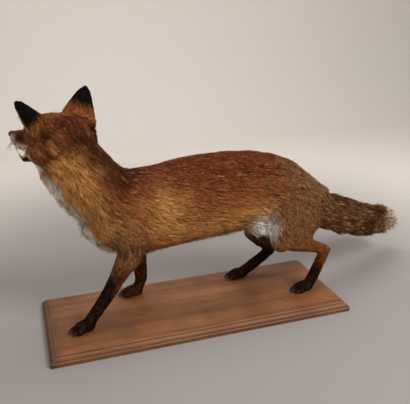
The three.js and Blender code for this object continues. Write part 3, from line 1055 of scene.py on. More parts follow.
@dataclass
class Pelt:
    """What grows where: the markings and the lie of the hair, for each point of the skin.

    ragged is how far the markings' edges wander, undercoat the place along a strand whose tone the skin has,
    which is the roots' dark tone and so partly painted shade between the tufts, and drawn_out how much the
    skin's streaks are stretched along the hair. rough holds the skin's points moved about for those edges,
    left the same with the right side brought over to the left, and both the points in the head's frame, with
    y counted outward.
    """

    skin: Skin
    ragged: float = 5
    undercoat: float = 0.3
    drawn_out: float = 0.8
    rough: Array = field(init=False)
    left: Array = field(init=False)
    both: Array = field(init=False)
    masks: dict[str, Array] = field(init=False)
    way: Array = field(init=False)
    hair: Array = field(init=False)
    width: Array = field(init=False)
    depth: Array = field(init=False)
    bare: Array = field(init=False)

    def on(self, *names: str) -> Array:
        """The skin's own on."""
        return self.skin.on(*names)

    def build(self) -> "Pelt":
        """Works out the masks, the lie and the bare places."""
        depth = averaged(of_each("depth", self.skin.node), self.skin.edges, 30)
        self.depth = self.skin.thin_face(self.skin.surface.points, depth)
        self.bare = self.bare_places()
        self.way = self.lie_of_hair()
        self.size_hair()
        self.mark()
        return self

    def size_hair(self) -> None:
        """Works out each point's length and width of a tuft: short on the face, long at the breast."""
        p, h = self.skin.surface.points, self.skin.local
        self.hair, self.width = (averaged(of_each(what, self.skin.node), self.skin.edges, 25)
                                 for what in ("hair", "width"))
        face = ramp(h[:, 0], -10, -60) * self.on("head")
        self.hair *= 1 - 0.62 * face
        self.width *= 1 - 0.3 * face
        self.hair += 9 * self.on("trunk", "neck") * spot(p, (-222, 20, 212), (32, 50, 34))
        self.hair += 6 * self.on("foreleg") * ramp(p[:, 2], 140, 175)
        ruff = self.on("head") * ramp(h[:, 0], -8, 20) * ramp(np.abs(h[:, 1]), 28, 48) * ramp(h[:, 2], 14, -8)
        self.hair += 7 * ruff
        for side, ear in EARS.items():
            own, high, behind = self.on(f"ear_{side.word}"), ear.height(h, side), self.behind(ear, side)
            self.hair += own * (8 * ramp(behind, 0, -0.5) * ramp(high, 0.85, 0.5)
                                - 2.6 * ramp(high, 0.6, 0.95) + 4 * ramp(high, 0.3, 0.0))

    def behind(self, ear: EarSite, side: Side) -> Array:
        """How far the skin faces the ear's back, from -1 in its cup to 1."""
        return (self.skin.normal @ HEAD.matrix()) @ ear.back(side)

    def lie_of_hair(self) -> Array:
        """The way that the hair lies at each point, smooth over the whole skin."""
        p, h, n = self.skin.surface.points, self.skin.local, self.skin.normal
        along = np.array([HEAD.way(LIES[name].along) if name in HEAD_NODES else LIES[name].along
                          for name in FLESH])[self.skin.node]
        trunk, neck, head = self.on("trunk"), self.on("neck"), self.on("head")
        side = np.sign(p[:, 1] - 20)
        flank = 1 - np.abs(n[:, 2])
        down = 0.10 + 0.18 * flank + 0.55 * spot(p, (-150, 20, 250), (75, 200, 110)) \
            + 0.5 * ramp(p[:, 0], 170, 290) * flank
        along = np.where(trunk[:, None] > 0, np.stack([np.ones_like(down), 0 * down, -down], 1), along)
        along = mixed(along, np.array([0.1, 0, -1]), ramp(n[:, 0], 0.1, -0.7) * neck)
        along = mixed(along, np.array([0.35, 0, -1]), ramp(p[:, 0], -190, -230) * trunk)
        cheek = ramp(h[:, 0], -60, 0) * ramp(np.abs(h[:, 1]), 22, 42) * ramp(h[:, 2], 25, -5) * head
        swept = HEAD.way(np.stack([0.85 + 0 * h[:, 0], 0.25 * np.sign(h[:, 1]), -0.5 + 0 * h[:, 0]], 1))
        along = mixed(along, swept, cheek)
        spread = np.stack([0 * side, 0.25 * side, 0 * side], 1) * (trunk * ramp(n[:, 2], 0.2, 0.95))[:, None]
        way = tangent(along + spread, n)
        for _ in range(14):
            way = tangent(averaged(way, self.skin.edges, 2, 0.7), n)
        return way

    def bare_places(self) -> Array:
        """Where no hair grows: the mouth, the eyes' openings, the nose, and the soles."""
        p, h = self.skin.surface.points, self.skin.local
        bare = self.mouth()
        for side in Side:
            measure, facing, far = EYE.opening(h, side)
            bare = np.maximum(bare, (measure < 1.35) & (facing > 0.2) & (far < 14))
        bare = np.maximum(bare, length((h - NOSE_AT) / (9.5, 11, 10)) < 1)
        sole = (self.skin.normal[:, 2] < -0.6) & (p[:, 2] < 24)
        return np.maximum(bare, sole)

    def mouth(self) -> Array:
        """The lining of the mouth: the roof under the upper jaw and the floor on the lower one."""
        h = self.skin.local
        n = self.skin.normal @ HEAD.matrix()
        j = HEAD.shut_jaw(h)
        half = np.interp(h[:, 0], [-122, -106, -80, -45, -25], [7, 11.5, 14.5, 19, 21])
        roof = self.on("head") * ramp(-n[:, 2], 0.35, 0.75) * (np.abs(h[:, 1]) < half) * (h[:, 0] < -22) \
            * (h[:, 0] > -121)
        nj = n @ HEAD.jaw_turn()
        half = np.interp(j[:, 0], [-103, -85, -60, -30], [5.5, 7.5, 10, 14])
        floor = self.on("lower_jaw", "head") * ramp(nj[:, 2], 0.2, 0.6) * (np.abs(j[:, 1]) < half) \
            * (j[:, 0] < -22) * (np.abs(j[:, 2] + 37) < 9)
        return np.maximum(roof, floor)

    def mark(self) -> None:
        """Works out the masks of the coat's colours, each from 0 to 1."""
        s, h = self.skin.surface.points, self.skin.local
        self.rough = p = s + np.stack([ripple(s, 26, k) for k in (1, 2, 3)], 1) * self.ragged
        self.left = np.where(p[:, 1:2] < 20, p, p * (1, -1, 1) + (0, 40, 0))
        self.both = np.abs(h) * (0, 1, 0) + h * (1, 0, 1)
        self.masks = {name: np.zeros(len(s)) for name in MARKS}
        for places, patches in ((p, BODY_PATCHES), (self.both, HEAD_PATCHES)):
            for patch in patches:
                self.add(patch.mark, self.strength(patch, places))
        self.add("gold", np.clip(sum(self.strength(patch, self.left) for patch in GLOW), 0, 1))
        for step in (self.mark_body, self.mark_head, self.mark_ears, self.mark_tail, self.mark_legs):
            step()
        self.masks = {name: averaged(np.clip(v, 0, 1), self.skin.edges, 3) for name, v in self.masks.items()}

    def strength(self, patch: Patch, places: Array) -> Array:
        """How strong a patch is at each point of the skin, from the places that its middle is measured in."""
        return patch.share * self.on(*patch.nodes) * spot(places, patch.at, patch.reach)

    def add(self, name: str, *shares: Array) -> None:
        """Raises a marking to the given shares, where they are higher."""
        self.masks[name] = np.maximum.reduce([self.masks[name], *shares])

    def mark_body(self) -> None:
        """The red back, the dark nape, the grizzled haunches, and the pale bib, groin and belly."""
        x, y, z = self.rough.T
        up, trunk, neck = self.skin.normal[:, 2], self.on("trunk"), self.on("neck")
        thigh = self.on("hindleg_left_thigh", "hindleg_right_thigh")
        nape = x + 0.75 * z
        self.add("red", trunk * ramp(z, 262, 345) * (0.5 + 0.5 * ramp(up, 0.1, 0.8)),
                 neck * ramp(nape, 60, 120))
        self.add("deep", 0.85 * neck * ramp(nape, 30, 95), 0.35 * trunk * ramp(z, 300, 350))
        haunch = (trunk + thigh) * ramp(x, 150, 240)
        self.add("umber", haunch * (0.85 + 0.15 * ramp(x, 220, 260)), 0.85 * thigh,
                 0.8 * trunk * spot(self.left, (-170, -50, 215), (45, 60, 45)))
        groin = np.clip(spot(self.left, (159, -18, 196), (29, 42, 31)) * 2.2, 0, 1)
        self.add("white", self.throat() * (trunk + neck),
                 (trunk + thigh) * groin * ramp(x - 0.3 * (z - 200), 196, 180),
                 trunk * ramp(up, -0.72, -0.92) * ramp(np.abs(y - 20), 36, 16))

    def mark_head(self) -> None:
        """The red crown, painted shade in the crease behind each cheek, the pale lips and cheeks, and the
        dark muzzle and eye rims.
        """
        head, jaw, h, both = self.on("head"), self.on("lower_jaw"), self.skin.local, self.both
        along, wide, high = both.T
        self.add("red", 0.85 * head * ramp(along, -60, -15))
        # fold is painted shade in the crease behind each cheek; it also keeps the gold out of it.
        fold = spot(both, (36, 56, 0), (17, 18, 44))
        behind_ears = spot(both, (34, 58, 24), (20, 26, 16))
        crown = ramp(along, -5, 40) * ramp(wide, 40, 22) * ramp(high, -30, -5)
        self.add("deep", head * np.clip(0.8 * crown + 0.8 * fold + 0.4 * behind_ears, 0, 0.88),
                 0.55 * head * ramp(along, -50, -70) * ramp(high, -20, -8))
        self.add("gold", 0.8 * head * spot(both, (18, 66, -2), (14, 14, 18)) * (1 - fold))
        lip = head * np.maximum(ramp(along, -45, -60) * ramp(high, -21, -27),
                                ramp(along, -98, -110) * ramp(high, -4, -14))
        cheek = head * ramp(high, -34, -48) * ramp(along, 22, -6) * ramp(wide, 58, 44)
        low = HEAD.shut_jaw(h)[:, 2]
        self.add("white", 0.62 * lip, cheek, 0.85 * jaw * ramp(low, -44, -50))
        mouth_edge = head * (along < -50) * ramp(wide, 8, 12) * np.exp(-((high + 38) / 4.5) ** 2)
        muzzle = head * spot(both, (-82, 0, -11), (24, 90, 10)) * ramp(wide, 6, 13)
        self.add("black", 0.9 * jaw * ramp(low, -50, -42), mouth_edge, 0.88 * muzzle)
        for side in Side:
            measure, facing, far = EYE.opening(h, side)
            self.add("black", head * ramp(measure, 1.8, 1.2) * (facing > 0.1) * (far < 16))

    def mark_ears(self) -> None:
        """The ears' black backs, with a golden and dark foot, and their pale cups."""
        for side, ear in EARS.items():
            own, behind = self.on(f"ear_{side.word}"), self.behind(ear, side)
            high = ear.height(self.skin.local, side) + 0.03 * ripple(self.skin.surface.points, 14, 8)
            self.add("black", own * ramp(high, ear.black_from, ear.black_from + 0.22)
                     * np.maximum(ramp(behind, -0.35, 0.05), ramp(high, 0.8, 0.95)))
            self.add("white", own * ramp(behind, -0.3, -0.7) * ramp(high, 0.9, 0.7) * ramp(high, 0.1, 0.35))
            self.add("deep", 0.45 * own * ramp(high, ear.black_from - 0.25, ear.black_from))
            self.add("gold", 0.5 * own * ramp(high, 0.45, 0.1) * ramp(behind, 0.9, 0.3))

    def mark_tail(self) -> None:
        """The brown, grizzled tail, darker above, and its paler tip."""
        x, tail = self.rough[:, 0], self.on("tail")
        self.add("umber", tail * ramp(x, 600, 550))
        self.add("deep", tail * (0.3 + 0.4 * ramp(self.skin.normal[:, 2], -0.1, 0.6)) * ramp(x, 580, 545))
        self.add("gold", 0.7 * tail * ramp(x, 535, 575))
        self.add("white", 0.55 * tail * ramp(x, 550, 600))

    def mark_legs(self) -> None:
        """The brown upper legs, and the black stockings."""
        p, z = self.rough, self.rough[:, 2]
        far_hind = self.on("hindleg_right_shank", "hindleg_right_thigh")
        near_shank = self.on("hindleg_left_shank")
        self.add("deep", 0.7 * far_hind * ramp(z, 180, 140), 0.25 * near_shank * ramp(z, 170, 140))
        elbow = self.on("foreleg") * ramp(z + 6 * ripple(p, 12, 33), 146, 172)
        self.add("umber", 0.8 * far_hind * ramp(z, 110, 140), 0.85 * near_shank * ramp(z, 145, 178),
                 0.5 * self.on("foreleg_left_upper", "foreleg_right_upper"), 0.75 * elbow)
        self.add("black", self.stockings())

    def dress(self, hide: Piece) -> None:
        """Stores the markings, the lie and the mouth's lining, for the skin's material.

        Args:
            hide: the skin's piece.
        """
        p = self.skin.surface.points
        none = np.zeros(len(p))
        give_marks(hide, self.masks, none, none + 1, none + self.undercoat)
        give(hide, "lining", averaged(self.mouth(), self.skin.edges, 1))
        give(hide, "lie", (p - self.way * (p * self.way).sum(1, keepdims=True) * self.drawn_out) * MM)

    def throat(self) -> Array:
        """The pale bib, from the chin down the front of the neck to between the forelegs."""
        x, y, z = self.rough.T
        line = np.interp(z, [160, 215, 270, 330, 380, 430], [-175, -226, -262, -293, -318, -345])
        front = ramp(x - line, 22, 2)
        chin = 1 - ramp(z, 358, 384) * ramp(np.abs(self.skin.local[:, 1]), 26, 40)
        return np.clip(front * ramp(np.abs(y - 18), 52, 30), 0, 1) * ramp(self.skin.normal[:, 2], 0.8, 0.45) \
            * chin

    def stockings(self) -> Array:
        """The black of the legs and feet, which reaches higher on a leg's front."""
        p, z = self.rough, self.rough[:, 2]
        front = ramp(self.skin.normal[:, 0], 0.5, -0.4)
        ragged = 9 * ripple(p * (1, 1, 0.25), 7, 31)
        black = np.zeros(len(p))
        for leg, taller, top, full, share in (
                (("foreleg_left", "forepaw_left"), 36, 134, 92, 1),
                (("foreleg_right", "forepaw_right"), 30, 142, 92, 0.88),
                (("hindleg_left", "hindpaw_left"), 26, 92, 62, 1),
                (("hindleg_right", "hindpaw_right"), 20, 114, 78, 1)):
            black = np.maximum(black, self.on(*leg) * ramp(z - taller * front + ragged, top, full) * share)
        return black * (0.91 + 0.06 * ripple(p, 9, 32))


# ---- the coat
@dataclass
class Coat:
    """One piece of the coat: closed tufts, rooted in the skin, that lie along it.

    nodes are the nodes it grows on, between two values of x; cover is how many times the tufts cover the
    skin, with at most so many tufts; bends is how many sections a tuft has between its root and its tip;
    stray turns single tufts from the lie, and swirl turns them in patches; lift is how far the tips stand
    off, in the coat's depth. About lock tufts make a lock, lock_wide to each side of its leader and
    lock_long of a hair's length along it, drawn together by the share gather. White hair over long_hair is
    loose and ragged. patch is the size of a tuft on the OFBake map.
    """

    name: str
    slot: str
    nodes: tuple
    cover: float
    seed: int
    bends: int = 1
    between: tuple = (-1000, 1000)
    stray: float = 0.10
    swirl: float = 0.10
    swirl_mm: float = 17
    lift: tuple = (0.35, 1.05)
    most: int = 32500
    lock: int = 8
    lock_wide: float = 1.6
    lock_long: float = 0.38
    gather: float = 0.5
    long_hair: float = 13
    patch: float = 0.003

    def build(self, pelt: Pelt, tree: BVHTree, finish: Finish) -> Piece:
        """Makes the piece.

        Args:
            pelt: what grows where.
            tree: the skin, to lay the tufts along.
            finish: the hair's material.
        Returns:
            The object, fixed to the mount.
        """
        rng = np.random.default_rng(self.seed)
        root, normal, way, hair, width, depth, masks, cell = self.roots(pelt, rng)
        count = len(root)
        across = np.cross(normal, way)
        loose = masks["white"] * (hair > self.long_hair)
        turn = (self.stray + 0.22 * loose) * rng.normal(size=count)
        turn += self.swirl * ripple(root, self.swirl_mm, self.seed + 40)
        way = unit(way + across * turn[:, None])
        hair = hair * rng.uniform(0.75, 1.2, count)
        width = width * rng.uniform(0.7, 1.25, count)
        leader, off = self.locks(root, way, across, hair, rng)
        raised_lock = rng.uniform(0.55, 1.1, count)[leader]
        lift = rng.uniform(*self.lift, count) * raised_lock
        lift *= 1 + 2.2 * loose * rng.random(count)[leader] ** 2
        middles, ups = [], []
        for t in self.stations():
            goal = root + way * (hair * t)[:, None] - across * (off * self.gather * t)[:, None]
            found = [tree.find_nearest(q) for q in goal.tolist()]
            on = np.array([f[0] for f in found])
            up = unit(np.array([f[1] for f in found]) + normal)
            raised = depth * lift * (0.55 + 0.45 * t) if t < 1 else depth * lift
            middles.append(on + up * raised[:, None])
            ups.append(up)
        points = self.shape(root - normal * 0.7, middles, ups, width)
        thing = mesh_object(self.name, Surface(points.reshape(-1, 3), self.faces(count)), finish)
        self.store(thing, rng, masks, leader)
        self.soften(thing, normal, across, ups, np.clip(off / self.lock_wide, -1.2, 1.2))
        self.unwrap(thing, root, cell)
        return settle(thing, self.slot)

    def locks(self, root: Array, way: Array, across: Array, hair: Array, rng: Draws) -> tuple[Array, Array]:
        """Gathers the tufts into narrow locks that lie along the hair.

        Args:
            root: the tufts' roots.
            way: the way each lies.
            across: the way across it.
            hair: its length.
            rng: picks the tufts that lead a lock.
        Returns:
            The tuft that leads each tuft's lock, and how far to its side each tuft stands.
        """
        count = len(root)
        leaders = rng.choice(count, max(8, count // self.lock), replace=False)
        tree = KDTree(len(leaders))
        for i, place in zip(leaders.tolist(), root[leaders].tolist()):
            tree.insert(place, i)
        tree.balance()
        near = np.array([[n[1] for n in tree.find_n(place, 6)] for place in root.tolist()])
        gap = root[:, None] - root[near]
        along, side = (gap * way[:, None]).sum(-1), (gap * across[:, None]).sum(-1)
        best = ((along / (self.lock_long * hair[:, None])) ** 2 + (side / self.lock_wide) ** 2).argmin(1)
        rows = np.arange(count)
        return near[rows, best], side[rows, best]

    def roots(self, pelt: Pelt, rng: Draws) -> tuple:
        """Spreads the roots evenly over the skin and reads what grows at each.

        Args:
            pelt: what grows where.
            rng: draws the places.
        Returns:
            For each tuft its root, normal, lie, length, width and depth, the masks, and its node's number.
        """
        s = pelt.skin.surface
        numbers = [FLESH.index(n) for n in self.nodes]
        own = np.isin(pelt.skin.node, numbers) & (s.points[:, 0] > self.between[0]) \
            & (s.points[:, 0] <= self.between[1])
        faces = s.faces[own[s.faces[:, 0]]]
        corner = s.points[faces]
        area = length(np.cross(corner[:, 2] - corner[:, 0], corner[:, 3] - corner[:, 1])) / 2
        grows = (1 - pelt.bare[faces].max(1)) * (pelt.bare[faces].max(1) < 0.5)
        weight = area * grows / (pelt.hair * pelt.width)[faces].mean(1)
        total = weight.sum()
        count = min(int(self.cover * 2 * total), self.most)
        reach = np.cumsum(weight)
        face = np.searchsorted(reach, (np.arange(count) + rng.random(count)) / count * total)
        face = np.minimum(face, len(faces) - 1)
        u, v = rng.random((2, count))
        share = np.stack([(1 - u) * (1 - v), u * (1 - v), u * v, (1 - u) * v], 1)[..., None]
        known = np.concatenate([s.points, pelt.skin.normal, pelt.way, np.stack(
            [pelt.hair, pelt.width, pelt.depth, *pelt.masks.values()], 1)], 1)
        at = (known[faces[face]] * share).sum(1)
        masks = dict(zip(pelt.masks, at[:, 12:].T))
        return (at[:, :3], unit(at[:, 3:6]), unit(at[:, 6:9]), at[:, 9], at[:, 10], at[:, 11], masks,
                pelt.skin.node[faces[face, 0]])

    def shape(self, root: Array, middles: list[Array], ups: list[Array], width: Array) -> Array:
        """The tufts' points.

        Args:
            root: each tuft's root.
            middles: the middles of its sections, with its tip last.
            ups: the way that its back faces at each of them.
            width: its width.
        Returns:
            For each tuft its root, three points for each section, and its tip.
        """
        rows = [root]
        line = [root, *middles]
        for k in range(self.bends):
            along = unit(line[k + 2] - line[k])
            across = unit(np.cross(ups[k], along))
            broad = width * (1.0 if k == 0 else 0.8)
            rows += [middles[k] + across * (broad / 2)[:, None], middles[k] - across * (broad / 2)[:, None],
                     middles[k] + np.cross(along, across) * (0.28 * broad)[:, None]]
        rows.append(middles[-1])
        return np.stack(rows, 1)

    def faces(self, count: int) -> Array:
        """The tufts' triangles.

        Args:
            count: how many tufts there are.
        Returns:
            The triangles.
        """
        one = [(0, 1, 2), (0, 3, 1), (0, 2, 3)]
        for k in range(self.bends - 1):
            a = 1 + 3 * k
            for i, j in ((0, 1), (1, 2), (2, 0)):
                one += [(a + i, a + 3 + j, a + j), (a + i, a + 3 + i, a + 3 + j)]
        last = 1 + 3 * (self.bends - 1)
        tip = last + 3
        one += [(last, tip, last + 1), (last + 1, tip, last + 2), (last + 2, tip, last)]
        return (np.array(one)[None] + np.arange(count)[:, None, None] * (tip + 1)).reshape(-1, 3)

    def stations(self) -> Array:
        """How far along a tuft its sections and its tip are."""
        return np.linspace(0, 1, self.bends + 2)[1:]

    def rows(self) -> Array:
        """How far along a tuft each of its points is."""
        return np.concatenate([[0], np.repeat(self.stations()[:-1], 3), [1]])

    def store(self, thing: Piece, rng: Draws, masks: dict, leader: Array) -> None:
        """Stores the markings, the pale tips and each tuft's tone, partly its own and partly its lock's.

        Args:
            thing: the piece.
            rng: draws the strays.
            masks: the markings at each root.
            leader: the tuft that leads each tuft's lock.
        """
        count = len(leader)
        each = len(self.rows())
        t = np.tile(self.rows(), count)
        own = {}
        for name, value in masks.items():
            stray = rng.uniform(-0.5, 0.5, count) * 2.2 * value * (1 - value)
            own[name] = np.repeat(np.clip(value + stray, 0, 1), each)
        chance = 0.06 + 0.36 * masks["umber"] + 0.14 * masks["red"]
        chance *= 1 - 0.75 * np.clip(masks["deep"], 0, 1)
        single, whole_lock = rng.random(count) < 0.6 * chance, (rng.random(count) < chance)[leader]
        ticked = np.maximum(single, whole_lock) * rng.uniform(0.3, 0.8, count)
        ticked *= 1 - np.clip(masks["black"], 0, 1) * 0.93
        tone = np.clip(1 + 0.15 * rng.normal(size=count) + 0.22 * rng.normal(size=count)[leader], 0.35, 1.7)
        give_marks(thing, own, np.repeat(ticked, each) * ramp(t, 0.5, 1), np.repeat(tone, each), t)

    def soften(self, thing: Piece, normal: Array, across: Array, ups: list[Array], side: Array) -> None:
        """Turns the shading normals towards the skin's, with each lock rounded across.

        Args:
            thing: the piece.
            normal: the skin's normal at each root.
            across: the way across each tuft.
            ups: the skin's normal under each section of the tufts.
            side: how far to its lock's side each tuft stands, from -1 to 1.
        """
        round_off = across * (0.75 * side)[:, None]
        turned = [normal + round_off]
        for k in range(self.bends):
            up = ups[k] + round_off
            turned += [up + across * 0.5, up - across * 0.5, up]
        turned.append(ups[-1] + round_off)
        soft = unit(np.stack(turned, 1)).reshape(-1, 3)
        thing.data.normals_split_custom_set_from_vertices(soft.tolist())

    def unwrap(self, thing: Piece, root: Array, cell: Array) -> None:
        """Gives each tuft a small patch of the OFBake map, at its root's place on the unrolled skin.

        Args:
            thing: the piece.
            root: the tufts' roots.
            cell: the node that each grows on. Each node is unrolled about its longest axis, in its own strip.
        """
        place = np.zeros((len(root), 2))
        cells = len(self.nodes)
        for k, name in enumerate(self.nodes):
            own = cell == FLESH.index(name)
            p = root[own]
            if not len(p):
                continue
            middle = p.mean(0)
            axis = np.linalg.svd(p[::7] - middle, full_matrices=False)[2]
            along, a, b = ((p - middle) @ axis.T).T
            turn = np.arctan2(b, a) / (2 * math.pi) + 0.5
            span = np.ptp(along) or 1
            rise = (along - along.min()) / span
            place[own] = np.stack([(k + 0.02 + 0.96 * turn) / cells, 0.01 + 0.98 * rise], 1)
        side = np.concatenate([[0], np.tile([0.5, -0.5, 0], self.bends), [0]])
        own = np.stack([side, self.rows() - 0.5], 1) * self.patch
        uv = np.clip(place[:, None] + own[None], 0, 1).reshape(-1, 2)
        corners = read(thing.data.loops, "vertex_index", 1, int)[:, 0]
        layer = thing.data.uv_layers.new(name="OFBake", do_init=False)
        layer.uv.foreach_set("vector", uv[corners].astype(np.float32).ravel())


COATS = (
    Coat("coat_head", "ginger_coat", ("head", "lower_jaw"), 3.2, 11, stray=0.12, swirl=0.08),
    Coat("coat_ears", "dark_coat", ("ear_left", "ear_right"), 2.6, 12, lift=(0.6, 1.6)),
    Coat("coat_neck", "ginger_coat", ("neck",), 4.2, 13, stray=0.12, swirl=0.07, most=27000),
    Coat("coat_shoulders", "ginger_coat", ("trunk",), 4.2, 14, between=(-1000, -60), swirl=0.07, most=25000),
    Coat("coat_flanks", "ginger_coat", ("trunk",), 4.0, 15, between=(-60, 110), swirl=0.07, most=29000),
    Coat("coat_loins", "ginger_coat", ("trunk",), 4.0, 16, between=(110, 1000), swirl=0.07, most=26000),
    Coat("coat_thighs", "grizzled_coat", both_sides("hindleg_*_thigh"), 4.0, 17, most=16000),
    Coat("coat_forelegs", "dark_coat", both_sides("foreleg_*_upper", "foreleg_*_lower", "forepaw_*"),
         3.4, 18),
    Coat("coat_hindlegs", "dark_coat", both_sides("hindleg_*_shank", "hindpaw_*"), 3.2, 19),
    Coat("coat_tail", "grizzled_coat", ("tail",), 5.0, 20, bends=2, stray=0.16, swirl=0.2, most=16000),
    Coat("coat_tail_tip", "pale_coat", ("tail_tip",), 7.0, 21, bends=2, stray=0.26, swirl=0.2,
         lift=(0.4, 1.3), most=8000),
)


# ---- face and feet
@dataclass(frozen=True)
class GlassEye:
    """A blown glass eye: an amber iris with fine spokes, a dark rim and an upright slit under clear glass."""

    iris: str = "c8862a"
    deep: str = "7b4516"
    rim: str = "1c110b"
    pupil: str = "050404"
    iris_mm: float = 6.4
    slit_mm: tuple = (1.2, 3.6)

    def make(self) -> Finish:
        """The material, which reads the place on the ball from the stored vector gaze."""
        material, tree = new_material("glass_eye")
        place = add_node(tree, "Attribute", {"attribute_name": "gaze"}).outputs["Vector"]
        flat = add_node(tree, "VectorMath", {"operation": "MULTIPLY", 1: (1, 1, 0)}, {0: place}).outputs[0]
        spoke = add_node(tree, "VectorMath", {"operation": "NORMALIZE"}, {0: flat}).outputs[0]
        fibres = add_node(tree, "TexNoise", {"Scale": 9.0, "Detail": 2.0}, {"Vector": spoke}).outputs[0]
        far = add_node(tree, "VectorMath", {"operation": "LENGTH"}, {0: flat}).outputs["Value"]
        slit = add_node(tree, "VectorMath", {"operation": "DIVIDE", 1: (*self.slit_mm, 1)}, {0: flat})
        slit = add_node(tree, "VectorMath", {"operation": "LENGTH"}, {0: slit.outputs[0]}).outputs["Value"]
        out, edge, hole = (
            add_node(tree, "MapRange", {"From Min": low, "From Max": high}, {"Value": value}).outputs[0]
            for low, high, value in ((0.35 * self.iris_mm, self.iris_mm, far),
                                     (0.93 * self.iris_mm, 1.04 * self.iris_mm, far), (1.1, 0.95, slit)))
        colour = layered(tree, self.iris, (fibres, self.deep), (out, self.deep), (edge, self.rim),
                         (hole, self.pupil))
        return closed(material, add_node(tree, "BsdfPrincipled", {
            "Roughness": 0.25, "IOR": 1.5, "Coat Weight": 1.0, "Coat Roughness": 0.02},
            {"Base Color": colour}))


@dataclass(frozen=True)
class Leather:
    """Bare skin, such as the nose or the lids' edges: dark, pebbled, with a dull gloss."""

    name: str = "nose_leather"
    colour: str = "15100f"
    paler: str = "2b2220"
    pebble_mm: float = 0.9
    roughness: float = 0.38
    relief_mm: float = 0.25

    def make(self) -> Finish:
        """The material."""
        material, tree = new_material(self.name)
        place = add_node(tree, "TexCoord").outputs["Object"]
        pebble = add_node(tree, "TexVoronoi", {"Scale": 1 / (self.pebble_mm * MM)},
                          {"Vector": place}).outputs["Distance"]
        colour = layered(tree, self.paler, (pebble, self.colour))
        bump = add_node(tree, "Bump", {"invert": True, "Strength": 0.5, "Distance": self.relief_mm * MM},
                        {"Height": pebble})
        return closed(material, add_node(tree, "BsdfPrincipled", {"Roughness": self.roughness},
                                         {"Base Color": colour, "Normal": bump.outputs[0]}))


@dataclass(frozen=True)
class Ivory:
    """Old teeth: cream, yellower and browner towards the gum, polished. Claws are horn of the same kind."""

    name: str = "tooth_ivory"
    tip: str = "ddd0b4"
    root: str = "a98a5b"
    roughness: float = 0.28
    stain_mm: float = 3

    def make(self) -> Finish:
        """The material, which reads how far along each point is from the stored number along."""
        material, tree = new_material(self.name)
        along = add_node(tree, "Attribute", {"attribute_name": "along"}).outputs["Fac"]
        place = add_node(tree, "TexCoord").outputs["Object"]
        stain = add_node(tree, "TexNoise", {"Scale": 1 / (self.stain_mm * MM), "Detail": 3.0},
                         {"Vector": place})
        mix = add_node(tree, "Math", {"operation": "MULTIPLY_ADD", 2: -0.25},
                       {0: stain.outputs[0], 1: along}).outputs[0]
        reach = add_node(tree, "Math", {"operation": "ADD"}, {0: mix, 1: along}).outputs[0]
        colour = layered(tree, self.root, (reach, self.tip))
        return closed(material, add_node(tree, "BsdfPrincipled", {"Roughness": self.roughness},
                                         {"Base Color": colour}))


@dataclass(frozen=True)
class PaintedWax:
    """The tongue: cast wax painted a dull pink, darker at its root, under varnish."""

    colour: str = "9c5148"
    deep: str = "5e2c28"
    papilla_mm: float = 0.7

    def make(self) -> Finish:
        """The material."""
        material, tree = new_material("painted_wax")
        along = add_node(tree, "Attribute", {"attribute_name": "along"}).outputs["Fac"]
        place = add_node(tree, "TexCoord").outputs["Object"]
        grain = add_node(tree, "TexNoise", {"Scale": 1 / (self.papilla_mm * MM), "Detail": 2.0},
                         {"Vector": place})
        bump = add_node(tree, "Bump", {"Strength": 0.4, "Distance": 0.3 * MM}, {"Height": grain.outputs[0]})
        colour = layered(tree, self.deep, (along, self.colour))
        return closed(material, add_node(tree, "BsdfPrincipled", {"Roughness": 0.32, "Coat Weight": 0.4},
                                         {"Base Color": colour, "Normal": bump.outputs[0]}))


@dataclass(frozen=True)
class Eyes:
    """The two glass eyes, bulged at the cornea, each with the dark rim of its lids.

    bulge is how far the cornea stands out, and rim the radius of the lids' edge.
    """

    bulge: float = 0.5
    rings: int = 30
    around: int = 40
    rim: float = 0.85

    def build(self) -> None:
        """Makes both eyes and their rims."""
        glass, leather = GlassEye().make(), Leather("lid_leather", "120d0b", "1e1613", 0.7, 0.45).make()
        for side in Side:
            centre, gaze, _, up = EYE.axes(side)
            polar = np.linspace(math.pi * 0.98, 0.02, self.rings)
            radius = EYE.radius + self.bulge * np.exp(-(polar / 0.5) ** 2)
            ball = globe(gaze, up, polar, self.around)
            shape = skinned(centre + ball * radius[:, None, None])
            v = shape.points - centre
            shape.points = HEAD.to_fox(shape.points)
            eye = mesh_object(f"glass_eye_{side.word}", shape, glass)
            tall = tangent(np.array([[0.12, 0, 1.0]]), gaze[None])[0]
            give(eye, "gaze", np.stack([v @ np.cross(gaze, tall), v @ tall, v @ gaze], 1))
            settle(eye, "glass_eye", f"eye_{side.word}")
            edge = HEAD.to_fox(EYE.edge(side, 40, 1.045))
            rim = hoop(edge, HEAD.to_fox(centre), self.rim)
            settle(mesh_object(f"lid_rim_{side.word}", rim, leather), "nose_leather")


